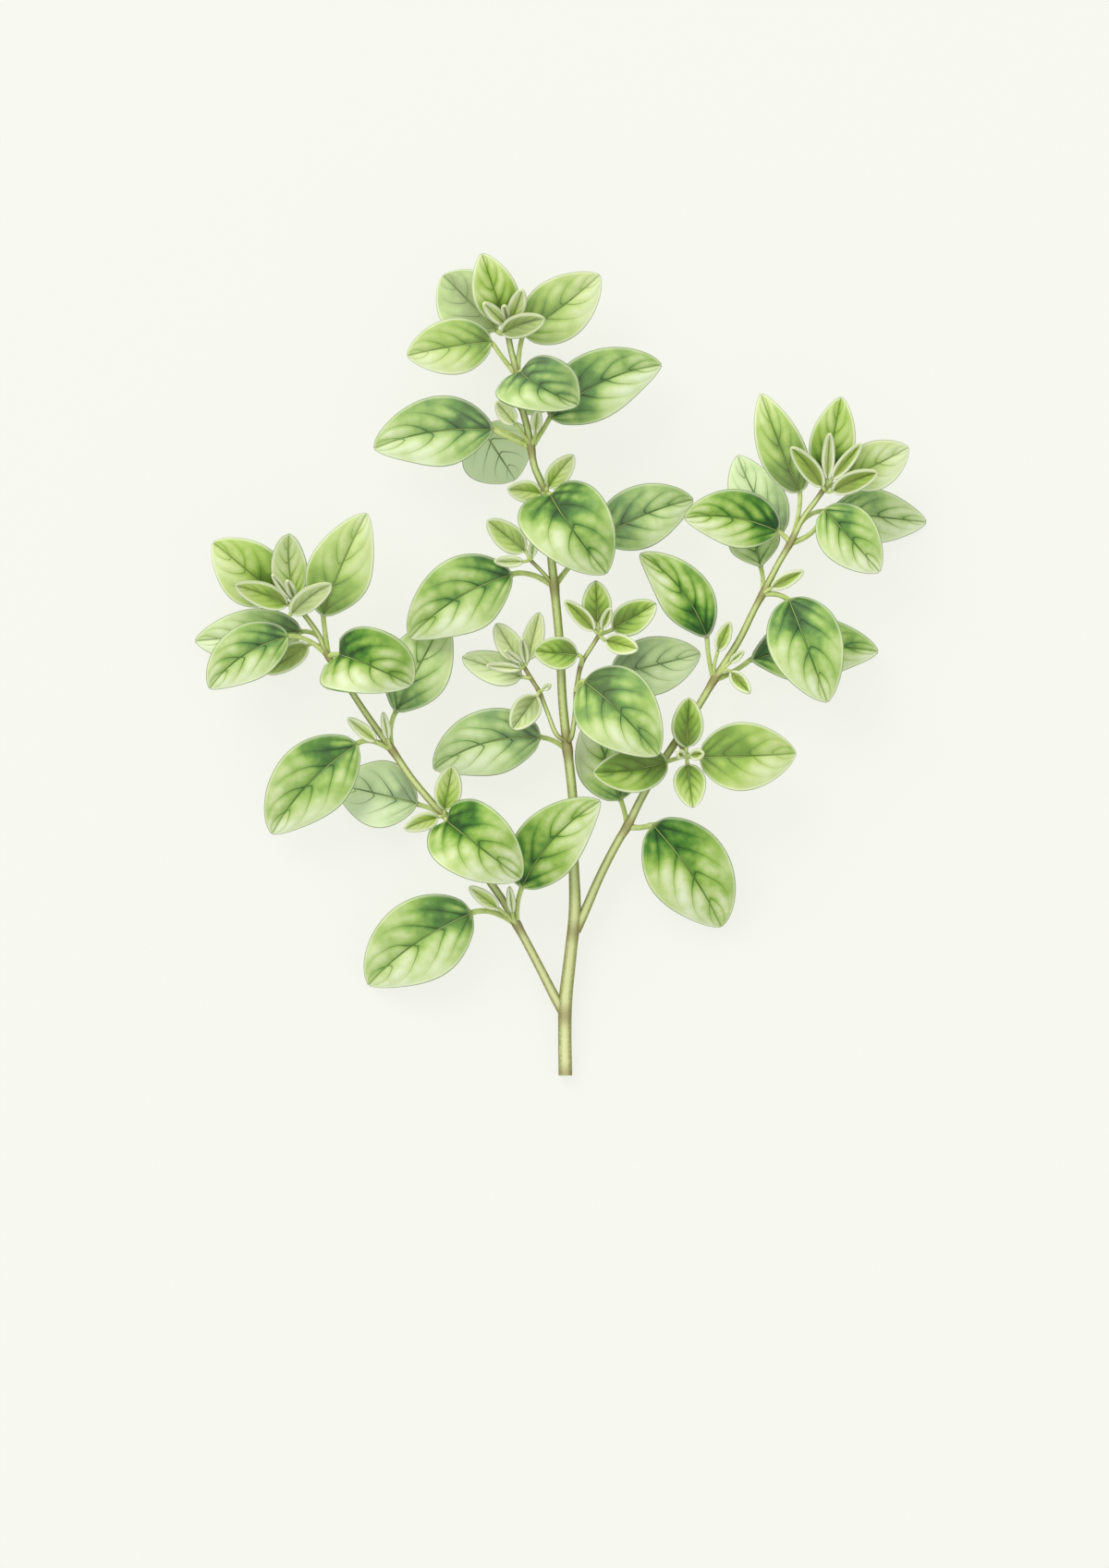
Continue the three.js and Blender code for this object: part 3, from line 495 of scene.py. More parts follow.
# %% Smooth paths for the stems
STEM_STEP = 0.7  # mm between the rings of a stem
JOINT_SWELL = 0.16  # how much thicker a stem is at a leaf joint, as a share
JOINT_REACH = 1.1  # mm from the joint to where most of the swelling is gone


def between(a, b, c, d, share):
    """The point a share of the way from b to c on the smooth curve through a, b, c and d."""
    before, here, after = [(q - p).length ** 0.5 for p, q in ((a, b), (b, c), (c, d))]
    way_b = here * ((b - a) / before - (c - a) / (before + here) + (c - b) / here)
    way_c = here * ((c - b) / here - (d - b) / (here + after) + (d - c) / after)
    s2, s3 = share**2, share**3
    ends = (2 * s3 - 3 * s2 + 1) * b + (3 * s2 - 2 * s3) * c
    return ends + (s3 - 2 * s2 + share) * way_b + (s3 - s2) * way_c


def smooth_path(points, step):
    """Pairs of a place and its share between two given points, counted from 0 on."""
    first = 2 * points[0] - points[1]
    last = 2 * points[-1] - points[-2]
    padded = [first, *points, last]
    path = []
    for i in range(len(points) - 1):
        a, b, c, d = padded[i : i + 4]
        count = max(1, math.ceil((c - b).length / step))
        path += [(between(a, b, c, d, k / count), i + k / count) for k in range(count)]
    return [*path, (points[-1], len(points) - 1.0)]


def stem_rings(axis):
    """The centre and the radius of each ring of a stem."""
    path = smooth_path([Vector(row[:3]) for row in axis], STEM_STEP)
    joints = [Vector(row[:3]) for row in axis if row[4:]]
    radii = [row[3] for row in axis] + [axis[-1][3]]
    rings = []
    for place, share in path:
        i = int(share)
        radius = radii[i] + (radii[i + 1] - radii[i]) * (share - i)
        nearness = sum(math.exp(-((place - joint).length / JOINT_REACH) ** 2) for joint in joints)
        rings.append((place, radius * (1 + JOINT_SWELL * min(nearness, 1))))
    return rings


print("rings on the main stem:", len(stem_rings(AXES["main_stem"])))

# %% [markdown]
# ## The square stem
#
# All plants of the mint family have square stems, and marjoram is one of them. A curve with a
# bevel object is the quick way to draw a rod of any section along a path: here the section is a
# square with rounded corners and slightly hollow sides. Each path point scales it by its own
# radius. The curve is then made a mesh, so that it can carry colours of its own.

# %% The stem's section
SECTION_POINTS = 24
SECTION_SQUARE = 2.8  # 2 is round, and a larger power is squarer
SECTION_SIDE = 0.95  # from the middle to a side, as a share of the radius
SIDE_HOLLOW = 0.05  # how much less than that it is where the side is hollow


def add_object(name, data):
    """An object of this name that shows this mesh or curve."""
    o = bpy.data.objects.new(name, data)
    bpy.context.collection.objects.link(o)
    return o


def add_section():
    """A closed flat curve: the rounded square of a stem, one metre in radius."""
    curve = bpy.data.curves.new("stem_section", "CURVE")
    spline = curve.splines.new("POLY")
    spline.points.add(SECTION_POINTS - 1)
    spline.use_cyclic_u = True
    for k, p in enumerate(spline.points):
        angle = math.tau * k / SECTION_POINTS
        x, y = math.cos(angle), math.sin(angle)
        square = (abs(x) ** SECTION_SQUARE + abs(y) ** SECTION_SQUARE) ** (-1 / SECTION_SQUARE)
        radius = SECTION_SIDE * square * (1 - SIDE_HOLLOW * math.cos(2 * angle) ** 4)
        p.co = (x * radius, y * radius, 0, 1)
    return add_object("stem_section", curve)


section = add_section()
print("points round the section:", len(section.data.splines[0].points))

# %% Square stems
STANDING_SHOOT = "front_shoot"  # the one that rises more than it runs along


def only(*objects):
    """Selects these objects and no others, with the first one active."""
    bpy.ops.object.select_all(action="DESELECT")
    for o in objects:
        o.select_set(True)
    bpy.context.view_layer.objects.active = objects[0]


def add_rods(name, rods, **bevel):
    """One mesh of rods, each through its rings' centres. The bevel settings give the section."""
    curve = bpy.data.curves.new(name, "CURVE")
    curve.dimensions = "3D"
    curve.use_fill_caps = True
    for setting, value in bevel.items():
        setattr(curve, setting, value)
    for rings in rods:
        spline = curve.splines.new("POLY")
        spline.points.add(len(rings) - 1)
        spline.use_smooth = True
        for p, (place, radius) in zip(spline.points, rings):
            p.co = (*(place * MM), 1)
            p.radius = radius * MM
    only(add_object(name, curve))
    bpy.ops.object.convert(target="MESH")
    return bpy.context.object


def axes_of(stem_name):
    """The axis of a stem and those of its twigs."""
    return [axis for name, axis in AXES.items() if name.split(".")[0] == stem_name]


def add_square_stem(stem_name):
    """A stem and its twigs, as one mesh."""
    rods = [stem_rings(axis) for axis in axes_of(stem_name)]
    twist = "MINIMUM" if stem_name == STANDING_SHOOT else "Z_UP"
    bevel = {"bevel_mode": "OBJECT", "bevel_object": section, "twist_mode": twist}
    return add_rods(stem_name + "_stem", rods, **bevel)


stems = {name: add_square_stem(name) for name in LEAVES}
bpy.data.objects.remove(section)
print("stem faces:", {name: len(stem.data.polygons) for name, stem in stems.items()})

# %% [markdown]
# ## Where the stem was cut
#
# A cut across a soft stem shows a ring of green rind round paler, slightly sunken pith. The cap at
# the foot of the main stem is picked by its place and its normal, and then inset twice in edit
# mode: once for the rind's edge, and once, a little inwards, for the pith.

# %% The cut foot
CUT_RIND = 0.22 * MM
PITH_SUNK = 0.08 * MM
FACES_FOOT = 0.9  # how nearly the cut's normal points down the stem, where 1 is exactly


def pick_faces(o, wanted):
    """Selects the faces for which wanted(face) is true, and enters edit mode."""
    only(o)
    bpy.ops.object.mode_set(mode="EDIT")
    bpy.ops.mesh.select_mode(type="FACE")
    bpy.ops.mesh.select_all(action="DESELECT")
    bpy.ops.object.mode_set(mode="OBJECT")
    for face in o.data.polygons:
        face.select = wanted(face)
    bpy.ops.object.mode_set(mode="EDIT")


main = stems["main_stem"]
foot = min(v.co.y for v in main.data.vertices)
pick_faces(main, lambda face: face.normal.y < -FACES_FOOT and face.center.y < foot + MM)
bpy.ops.mesh.inset(thickness=CUT_RIND, depth=0)
bpy.ops.mesh.inset(thickness=CUT_RIND / 2, depth=-PITH_SUNK)
bpy.ops.object.mode_set(mode="OBJECT")
pith_faces = [face.index for face in main.data.polygons if face.select]
print("pith faces:", len(pith_faces), "foot at y in mm:", round(foot / MM, 2))

# %% [markdown]
# ## The form of a leaf
#
# A marjoram leaf is egg-shaped: round at the base, widest before the middle, and drawn to a blunt
# point. Its two halves rise from the midrib like an open book and curl back down at the margin. A
# full-grown leaf bows up along its length, and a young one is cupped the other way. The midrib is
# one bent line, and everything else on the blade is measured from it: s runs along it from 0 to 1,
# and t across it from -1 at one margin to 1 at the other.

# %% Leaf forms
BLADE_THICKNESS = 0.42  # mm
BLADE_FOLD = 20  # degrees
YOUNG_FOLD = 32
BLADE_CURL = 0.24  # as a share of the half width
BLADE_ARCH = 0.1  # as a share of the length
WIDEST_AT = 0.42  # as a share of the length
ROUNDNESS = (0.74, 0.66)  # at the base and at the tip, and lower is rounder
YOUNG_ROUNDNESS = (0.6, 0.46)  # the same two for the small new leaves
TIP_HALF_WIDTH = 0.22  # mm
LOBE_START = 0.05  # how far along the blade the margins have reached back the most
FOLD_SOFTNESS = 0.07  # the share of the half width over which the fold at the midrib is rounded
STALK_RADIUS = 0.3  # mm, to which the leaf's width times the next is added
STALK_PER_WIDTH = 0.016
PETIOLE_BEND = 0.45  # how far behind the blade's base a stalk bends, as a share of its length
UP = Vector((0, 0, 1))


def bent(a, b, c, s):
    """The point at s on the bent line from a to c that b pulls towards itself."""
    return a.lerp(b, s).lerp(b.lerp(c, s), s)


class Form:
    """The lines that a leaf's surface is built on, in millimetres."""

    def __init__(self, leaf, joint):
        self.leaf = leaf
        self.base, self.tip = Vector(leaf.base), Vector(leaf.tip)
        self.length = (self.tip - self.base).length
        along = (self.tip - self.base).normalized()
        level = (UP - along * UP.dot(along)).normalized()
        self.face = Quaternion(along, math.radians(leaf.roll)) @ level
        usual_arch = BLADE_ARCH if leaf.grown else -BLADE_ARCH
        bow = (usual_arch if leaf.arch is None else leaf.arch) * self.length
        self.middle = self.base.lerp(self.tip, 0.5) + self.face * 2 * bow
        self.middle += self.face.cross(along) * 2 * leaf.veer * self.length
        self.joint = joint
        back = PETIOLE_BEND * (joint - self.base).length
        straight = self.base - (self.middle - self.base).normalized() * back
        self.turn = Vector(leaf.turn) if leaf.turn else straight
        usual_fold = BLADE_FOLD if leaf.grown else YOUNG_FOLD
        self.rise = math.sin(math.radians(usual_fold if leaf.fold is None else leaf.fold))
        self.stalk = STALK_RADIUS + STALK_PER_WIDTH * leaf.width

    def half_width(self, s):
        """Half the blade's width at s."""
        power = math.log(0.5) / math.log(WIDEST_AT)
        at_base, at_tip = ROUNDNESS if self.leaf.grown else YOUNG_ROUNDNESS
        if self.leaf.wedge is not None:
            at_base = self.leaf.wedge
        roundness = at_base + (at_tip - at_base) * s
        outline = max(math.sin(math.pi * s**power), 0) ** roundness
        end = self.stalk + (TIP_HALF_WIDTH - self.stalk) * s**0.5
        return max(self.leaf.width / 2 * outline, end)

    def midrib(self, s):
        """The point of the midrib at s, and the way up and the way across there."""
        way = (self.middle - self.base).lerp(self.tip - self.middle, s).normalized()
        normal = (self.face - way * self.face.dot(way)).normalized()
        return bent(self.base, self.middle, self.tip, s), normal, way.cross(normal)

    def lift(self, s, t):
        """How far the plain folded blade stands over its midrib at s and t."""
        spread = math.hypot(t, FOLD_SOFTNESS) - FOLD_SOFTNESS
        return self.half_width(s) * (self.rise * spread - BLADE_CURL * t * t)


print("a grown leaf folds by", BLADE_FOLD, "degrees, a young one by", YOUNG_FOLD)

# %% A form for every leaf


def joints_of(stem_name):
    """The leaf joints of a stem and its twigs, by name."""
    rows = [row for axis in axes_of(stem_name) for row in axis]
    return {row[4]: Vector(row[:3]) for row in rows if row[4:]}


forms = {
    stem_name: [Form(leaf, joints_of(stem_name)[leaf.joint]) for leaf in leaves]
    for stem_name, leaves in LEAVES.items()
}
lengths = [form.length for row in forms.values() for form in row]
print("leaf lengths in mm:", round(min(lengths), 1), "to", round(max(lengths), 1))

# %% [markdown]
# ## Veins and quilting
#
# The midrib lies in a narrow groove. From it side veins leave in pairs, arching towards the tip,
# and the blade puffs up between them like a quilt. One number says where a point lies between two
# side veins: the vein phase, which is whole on a vein and a half midway between two. The shape
# uses it for the quilting, and the material uses the same number to draw the veins.

# %% Relief of a blade
VEIN_SPACING = 0.25  # of the leaf's length between two side veins
FIRST_VEIN = 0.02
VEIN_SLANT = 0.26  # how far a side vein runs forward on its way out, as a share of the length
VEIN_ARCH = 0.3  # how much more of that comes near the margin
LEFT_BEHIND = 0.3  # how far the veins of one half lag, as a share of the spacing
LAG_OVER = 0.12  # the part of the half width next to the midrib over which that lag grows
QUILT_HEIGHT = 0.009  # of the leaf's width
QUILT_TOP = 2.4  # brings the highest part of a puff to about 1
QUILT_RISE = 0.6  # how steeply a puff rises from the midrib, lower being steeper
QUILT_FALL = 1.2  # how early it falls to the margin
QUILT_FADES = (0.1, 0.25)  # the parts of the length at the base and the tip where it fades out
MIDRIB_GROOVE = 0.16  # mm
GROOVE_WIDTH = 0.5  # mm
GROOVE_FADE = 0.2  # the part of the length at the tip where it fades out
RIPPLE = 0.2  # mm, the unevenness that makes no two leaves alike
RIPPLE_LENGTH = 5.0  # mm
RIPPLE_HALF_WIDTH = 3  # mm, and a narrower blade ripples less


def vein_phase(s, t):
    """Where s and t lie between two side veins: whole numbers are on a vein."""
    lag = LEFT_BEHIND * min(max(-t, 0) / LAG_OVER, 1)
    return (s - FIRST_VEIN - VEIN_SLANT * abs(t) - VEIN_ARCH * t * t) / VEIN_SPACING + lag


def relief_at(form, s, t, place):
    """How far the quilted blade stands over the plain one, in millimetres."""
    half = form.half_width(s)
    between_ribs = QUILT_TOP * abs(t) ** QUILT_RISE * (1 - abs(t)) ** QUILT_FALL
    at_base, at_tip = QUILT_FADES
    fade_to_ends = min((1 - s) / at_tip, 1) * min(s / at_base, 1)
    puff = math.sin(math.pi * vein_phase(s, t)) ** 2 * between_ribs * fade_to_ends
    groove = math.exp(-((t * half / GROOVE_WIDTH) ** 2)) * min((1 - s) / GROOVE_FADE, 1)
    ripple = noise.noise(place / RIPPLE_LENGTH) * abs(t) * min(half / RIPPLE_HALF_WIDTH, 1)
    height = QUILT_HEIGHT * form.leaf.width * puff - MIDRIB_GROOVE * groove
    return height + RIPPLE * ripple


def blade_point(form, s, t):
    """The middle of the blade's thickness at s and t, in millimetres. None of it sinks into the card."""
    place, normal, across = form.midrib(s)
    back = form.leaf.lobe * form.length * (1 - s) ** 3 * t * t * min(s / LOBE_START, 1)
    ahead = form.leaf.skew * t * form.half_width(s) - back
    place = place + normal.cross(across) * ahead
    plain = place + across * (t * form.half_width(s)) + normal * form.lift(s, t)
    point = plain + normal * relief_at(form, s, t, plain)
    point.z = max(point.z, BLADE_THICKNESS / 2)
    return point


print("side veins a leaf:", int((1 - FIRST_VEIN) / VEIN_SPACING))

# %% [markdown]
# ## One flat blade, bent for every leaf
#
# Every leaf starts as the same flat sheet, a grid whose x is t and whose y is s. Its rows are drawn
# together towards the base and the tip, and its columns towards the midrib and the margins, where
# the shape turns quickest. A copy then gets each of its points from the leaf's own form. Small
# leaves use a coarser sheet. Each point also keeps what the material needs to know about it.

# %% Flat sheets
BLADE_SHEETS = {"grown": (26, 36), "small": (14, 20), "bud": (8, 12)}  # columns and rows
ROWS_DRAWN = 0.09  # how far the rows are drawn to the ends, as a share of the sheet
COLUMNS_DRAWN = 0.055


def add_sheet(kind, columns, rows):
    """A flat grid from x = -1 to 1 and y = 0 to 1, finer towards its edges and its middle."""
    bpy.ops.object.select_all(action="DESELECT")
    bpy.ops.mesh.primitive_grid_add(x_subdivisions=columns, y_subdivisions=rows, size=2)
    sheet = bpy.context.object
    sheet.name = kind + "_sheet"
    bpy.ops.object.mode_set(mode="EDIT")
    bpy.ops.mesh.select_all(action="SELECT")
    bpy.ops.transform.translate(value=(0, 1, 0))
    bpy.ops.transform.resize(value=(1, 0.5, 1), center_override=(0, 0, 0))
    bpy.ops.object.mode_set(mode="OBJECT")
    for v in sheet.data.vertices:
        v.co.x -= COLUMNS_DRAWN * math.sin(math.tau * v.co.x)
        v.co.y -= ROWS_DRAWN * math.sin(math.tau * v.co.y)
    return sheet


sheets = {kind: add_sheet(kind, *counts) for kind, counts in BLADE_SHEETS.items()}
print("sheet faces:", {kind: len(sheet.data.polygons) for kind, sheet in sheets.items()})

# %% What a blade's points keep
YOUNG_WIDTHS = (8.5, 3.5)  # a leaf of the first width is quite old, one of the second quite young
TOP_YOUTH = 0.4  # the least for the leaves round a stem's tip
SHOOT_YOUTH = {"front_shoot": 0.45, "right_shoot": 0.1}  # the least for the leaves of a shoot
PAINTED_HALF_LIGHT = 0.2  # how much paler the half that faces the lamp, towards the sprig's foot, is painted: painted light
TONE_VARIETY = 0.08  # how far one leaf's tone may stray from its own
TONE_STEP = 0.37  # how far apart in the noise two leaves are whose bases are 1 mm apart
POINT_FACTS = (  # the step and the two distances are in millimetres
    "along", "outward", "vein_phase", "vein_step", "from_midrib", "from_margin", "youth", "pale", "tone",
)


def facts_at(form, s, t, youth, tone):
    """What the leaf's material reads at s and t, in the order of POINT_FACTS."""
    half = form.half_width(s)
    # Painted light: the half of the blade that faces the lamp gets a lighter tone, the other half a deeper
    # one.
    painted_half_shade = math.copysign(abs(t) ** 0.5, t) * form.midrib(0.5)[2].y
    tone -= PAINTED_HALF_LIGHT * painted_half_shade
    out = abs(t)
    step = VEIN_SPACING * form.length
    ways = (s, out, vein_phase(s, t), step, out * half, (1 - out) * half)
    return (*ways, youth, form.leaf.pale, tone)


def youth_of(stem_name, leaf):
    """How young a leaf looks, from 0 to 1, by its width and by the shoot it is on."""
    oldest, youngest = YOUNG_WIDTHS
    by_width = (oldest - leaf.width) / (oldest - youngest)
    by_place = TOP_YOUTH if leaf.name.startswith("top") else SHOOT_YOUTH.get(stem_name, 0)
    return min(max(by_width, by_place), 1)


print("a grown leaf's youth:", youth_of("main_stem", LEAVES["main_stem"][0]))

# %% Blades
BUD_WIDTH = 3  # mm, and a narrower leaf is a bud


def add_blade(form, stem_name):
    """A copy of the flat sheet, bent to one leaf's form."""
    width = form.leaf.width
    kind = "grown" if form.leaf.grown else "small" if width >= BUD_WIDTH else "bud"
    mesh = sheets[kind].data.copy()
    flat = [(min(max(v.co.y, 0), 1), v.co.x) for v in mesh.vertices]
    for v, (s, t) in zip(mesh.vertices, flat):
        v.co = blade_point(form, s, t) * MM
    youth = youth_of(stem_name, form.leaf)
    tone = form.leaf.tone + TONE_VARIETY * noise.noise(form.base * TONE_STEP)
    rows = [facts_at(form, s, t, youth, tone) for s, t in flat]
    for name, values in zip(POINT_FACTS, zip(*rows)):
        mesh.attributes.new(name, "FLOAT", "POINT").data.foreach_set("value", values)
    return add_object(f"{stem_name}_{form.leaf.name}", mesh)


def join(name, objects):
    """Joins the objects into one, under this name."""
    only(*objects)
    bpy.ops.object.join()
    bpy.context.object.name = name
    return bpy.context.object


blades = {
    stem_name: join(stem_name + "_leaves", [add_blade(form, stem_name) for form in row])
    for stem_name, row in forms.items()
}
for sheet in sheets.values():
    bpy.data.objects.remove(sheet)
print("blade faces:", {name: len(o.data.polygons) for name, o in blades.items()})

# %% [markdown]
# ## Leaf stalks and midribs
#
# A leaf stalk runs on under its blade as the midrib, thinner and thinner to the tip. So both are
# one tapered tube: it leaves the stem a little thickened, slims, and dives under the blade, where
# its top half is inside the blade and its lower half stands out as a ridge. Round curves with a
# radius at each point do this, and once made meshes they join the stem that they grow from.

# %% Stalks and midribs
PETIOLE_STEPS = 9
MIDRIB_STEPS = 16
MIDRIB_END = 0.94  # where it ends, as a share of the blade's length
MIDRIB_DRAWN = 1.3  # how much its rings are drawn together towards the stalk, where 1 is evenly
STALK_FOOT = 1.25  # its thickness at the stem, where 1 is at the blade
STALK_WAIST = 0.86
MIDRIB_UNDER = 0.55  # how far its middle lies under the blade's own skin, as a share of its radius
MIDRIB_FINE = 0.1  # mm, the midrib's radius at its end
RIB_SIDES = 3  # the bevel's steps for half of a quarter turn


def stalk_rings(form):
    """The centres and radii of a leaf's stalk and midrib, from the stem to near the tip."""
    rings = []
    for i in range(PETIOLE_STEPS):
        share = i / PETIOLE_STEPS
        slim = STALK_WAIST + (STALK_FOOT - STALK_WAIST) * (1 - share) ** 3
        radius = form.stalk * (slim + (1 - STALK_WAIST) * share**3)
        sunk = share**3 * (BLADE_THICKNESS / 2 + MIDRIB_UNDER * form.stalk)
        rings.append((bent(form.joint, form.turn, form.base, share) - form.face * sunk, radius))
    for i in range(MIDRIB_STEPS + 1):
        s = MIDRIB_END * (i / MIDRIB_STEPS) ** MIDRIB_DRAWN
        normal = form.midrib(s)[1]
        radius = MIDRIB_FINE + (form.stalk - MIDRIB_FINE) * (1 - s / MIDRIB_END) ** 2
        sunk = BLADE_THICKNESS / 2 + MIDRIB_UNDER * radius
        rings.append((blade_point(form, s, 0) - normal * sunk, radius))
    for place, radius in rings:
        place.z = max(place.z, radius)
    return rings


round_bevel = {"bevel_depth": 1, "bevel_resolution": RIB_SIDES}
stalks = {
    name: add_rods(name + "_stalks", [stalk_rings(form) for form in row], **round_bevel)
    for name, row in forms.items()
}
print("stalk faces:", {name: len(o.data.polygons) for name, o in stalks.items()})

# %% [markdown]
# ## Helpers for living surfaces
#
# All of the sprig is matt and finely downy. The down scatters light at grazing angles, which is
# what the sheen is for, and leaf wax has an IOR of about 1.4. So one shader serves every part, and
# only its colour, relief and roughness differ. Where one pattern gives a part both its colours and
# its relief, as on a rim, a stalk or a hair, one function makes the whole material.

# %% Ramps, facts and the living shader
SKIN_IOR = 1.4
DOWN_SHEEN = {"Sheen Weight": 0.05, "Sheen Roughness": 0.5, "Sheen Tint": linear("#eef5d8")}


def set_stops(ramp, stops):
    """Gives a colour ramp these positions and hex colours."""
    elements = ramp.color_ramp.elements
    while len(elements) < len(stops):
        elements.new(1.0)
    for element, (position, colour) in zip(elements, stops):
        element.position = position
        element.color = linear(colour)


def facts(tree, names):
    """An Attribute node's value for each of these facts that the mesh's points carry."""
    nodes = {name: add(tree, "Attribute", attribute_name=name) for name in names}
    return {name: node.outputs["Fac"] for name, node in nodes.items()}


def finish_living(tree, colour, bump, roughness):
    """Ends a material as a downy surface with this colour and relief."""
    shader = add(tree, "BsdfPrincipled", {"Base Color": colour, "Normal": bump})
    for name, value in {"Roughness": roughness, "IOR": SKIN_IOR, **DOWN_SHEEN}.items():
        shader.inputs[name].default_value = value
    add(tree, "OutputMaterial", {"Surface": shader})


def add_patterned(name, kind, size, stops, strength, depth, roughness, detail=None, young=None):
    """A material of one pattern. Size and depth are in millimetres, young is a share and a colour."""
    material, tree = new_material(name)
    place = add(tree, "TexCoord").outputs["Object"]
    pattern = add(tree, kind, {"Vector": place, "Scale": 1 / (size * MM)})
    if detail is not None:
        pattern.inputs["Detail"].default_value = detail
    colour = add(tree, "ValToRGB", {"Fac": pattern})
    set_stops(colour, stops)
    if young:
        youth = facts(tree, ["youth"])["youth"]
        share = add(tree, "Math", {0: youth, 1: young[0]}, operation="MULTIPLY")
        tints = {"Factor": share, "A": colour, "B": linear(young[1])}
        colour = add(tree, "Mix", tints, data_type="RGBA")
    bump = add(tree, "Bump", {"Height": pattern, "Strength": strength, "Distance": depth * MM})
    finish_living(tree, colour, bump, roughness)
    return material


print("sheen:", DOWN_SHEEN["Sheen Weight"], "IOR:", SKIN_IOR)

# %% [markdown]
# ## Veins, as seen
#
# A vein is darker than the blade above and paler below, so both sides' materials need to know how
# much a point is on one. The vein phase that the blade's points carry gives the distance to the
# nearest side vein, and a little noise lets the vein stray from its line. Between two veins the
# blade is puffed up. On the upper side the green beside a vein is painted deeper, as painted shade
# in its groove. All of it fades towards the margin and the tip, and it has hardly begun on a young
# leaf. Each fade is a row of numbers: which fact it follows, where it starts and ends, and how strong
# it is at the two ends.

# %% Veins, puffs and relief
VEIN_WANDER = 6.0 * MM  # the size of the bends in a side vein
VEIN_STRAY = 0.18  # how far it strays, as a share of the spacing
SIDE_VEIN_WIDTHS = (0.22, -0.12)  # mm: at the midrib, and how much that changes to the margin
UNVEINED_YOUTH = -0.75  # what youth takes from the side veins
VEIN_FADES = {
    "side": ("from_vein", 0.02, "vein_width", 0.95, 0.0),
    # The deeper green beside a vein is painted shade in its groove.
    "painted_vein_shade": ("from_vein", 0.0, 1.1, 1.0, 0.0),
    "puff": ("gap", 0.02, 0.45, 0.0, 1.0),
    "midrib": ("from_midrib", 0.06, 0.27, 1.0, 0.0),
}
PLACE_FADES = {
    "inner": ("outward", 0.1, 0.85, 1.0, 0.0),
    "before_tip": ("along", 0.6, 1.0, 1.0, 0.3),
}
PUFF_WINDOW = ((0.03, "#000000"), (0.25, "#ffffff"), (0.5, "#ffffff"), (0.9, "#000000"))
PUFF_RELIEF = 0.08  # mm
DOWN_SPACING = 0.28 * MM  # real down is finer, but this is as fine as shows
DOWN_RELIEF = 0.07  # mm


def add_fades(tree, fact, fades, change):
    """For each row of numbers, how strong it is where the fact that it follows has its value."""
    strength = {}
    for name, (follows, start, end, at_start, at_end) in fades.items():
        ends = {"From Min": start, "From Max": fact.get(end, end), "To Min": at_start, "To Max": at_end}
        sockets = {"Value": fact[follows], **ends}
        strength[name] = add(tree, "MapRange", sockets, interpolation_type=change)
    return strength


def vein_nodes(tree, fact, place):
    """How much a point is on a vein, on the puffed part between two, and in the painted shade by one."""
    wander = add(tree, "TexNoise", {"Vector": place, "Scale": 1 / VEIN_WANDER, "Detail": 1.0})
    shift = add(tree, "MapRange", {"Value": wander, "To Min": -VEIN_STRAY, "To Max": VEIN_STRAY})
    phase = add(tree, "Math", {0: fact["vein_phase"], 1: shift}, operation="ADD")
    gap = add(tree, "Math", {0: phase, 1: 0.5}, operation="PINGPONG")
    at_midrib, outwards = SIDE_VEIN_WIDTHS
    lines = {
        "gap": gap,
        "from_vein": add(tree, "Math", {0: gap, 1: fact["vein_step"]}, operation="MULTIPLY"),
        "from_midrib": fact["from_midrib"],
        "vein_width": add(
            tree, "Math", {0: fact["outward"], 1: outwards, 2: at_midrib}, operation="MULTIPLY_ADD"
        ),
    }
    near = add_fades(tree, lines, VEIN_FADES, "SMOOTHSTEP")
    within = add_fades(tree, fact, PLACE_FADES, "LINEAR")
    grown = add(tree, "Math", {0: fact["youth"], 1: UNVEINED_YOUTH, 2: 1.0}, operation="MULTIPLY_ADD")
    inner = add(tree, "Math", {0: within["inner"], 1: grown}, operation="MULTIPLY")
    side = add(tree, "Math", {0: near["side"], 1: inner}, operation="MULTIPLY")
    veins = add(tree, "Math", {0: near["midrib"], 1: side}, operation="MAXIMUM")
    veins = add(tree, "Math", {0: veins, 1: within["before_tip"]}, operation="MULTIPLY")
    window = add(tree, "ValToRGB", {"Fac": fact["outward"]})
    set_stops(window, PUFF_WINDOW)
    puff = add(tree, "Math", {0: near["puff"], 1: window}, operation="MULTIPLY")
    # Painted shade: the green beside a vein is made deeper, as if in its groove.
    painted_vein_shade = add(tree, "Math", {0: near["painted_vein_shade"], 1: inner}, operation="MULTIPLY")
    return veins, puff, painted_vein_shade


def leaf_relief(tree, place, veins, puff, vein_height):
    """A bump of quilting, veins and down, with heights in millimetres."""
    down = add(tree, "TexNoise", {"Vector": place, "Scale": 1 / DOWN_SPACING, "Detail": 2.0})
    height = add(tree, "Math", {0: puff, 1: PUFF_RELIEF}, operation="MULTIPLY")
    for part, tall in ((veins, vein_height), (down, DOWN_RELIEF)):
        height = add(tree, "Math", {0: part, 1: tall, 2: height}, operation="MULTIPLY_ADD")
    return add(tree, "Bump", {"Height": height, "Strength": 0.7, "Distance": MM})


print("vein fades:", list(VEIN_FADES), list(PLACE_FADES))

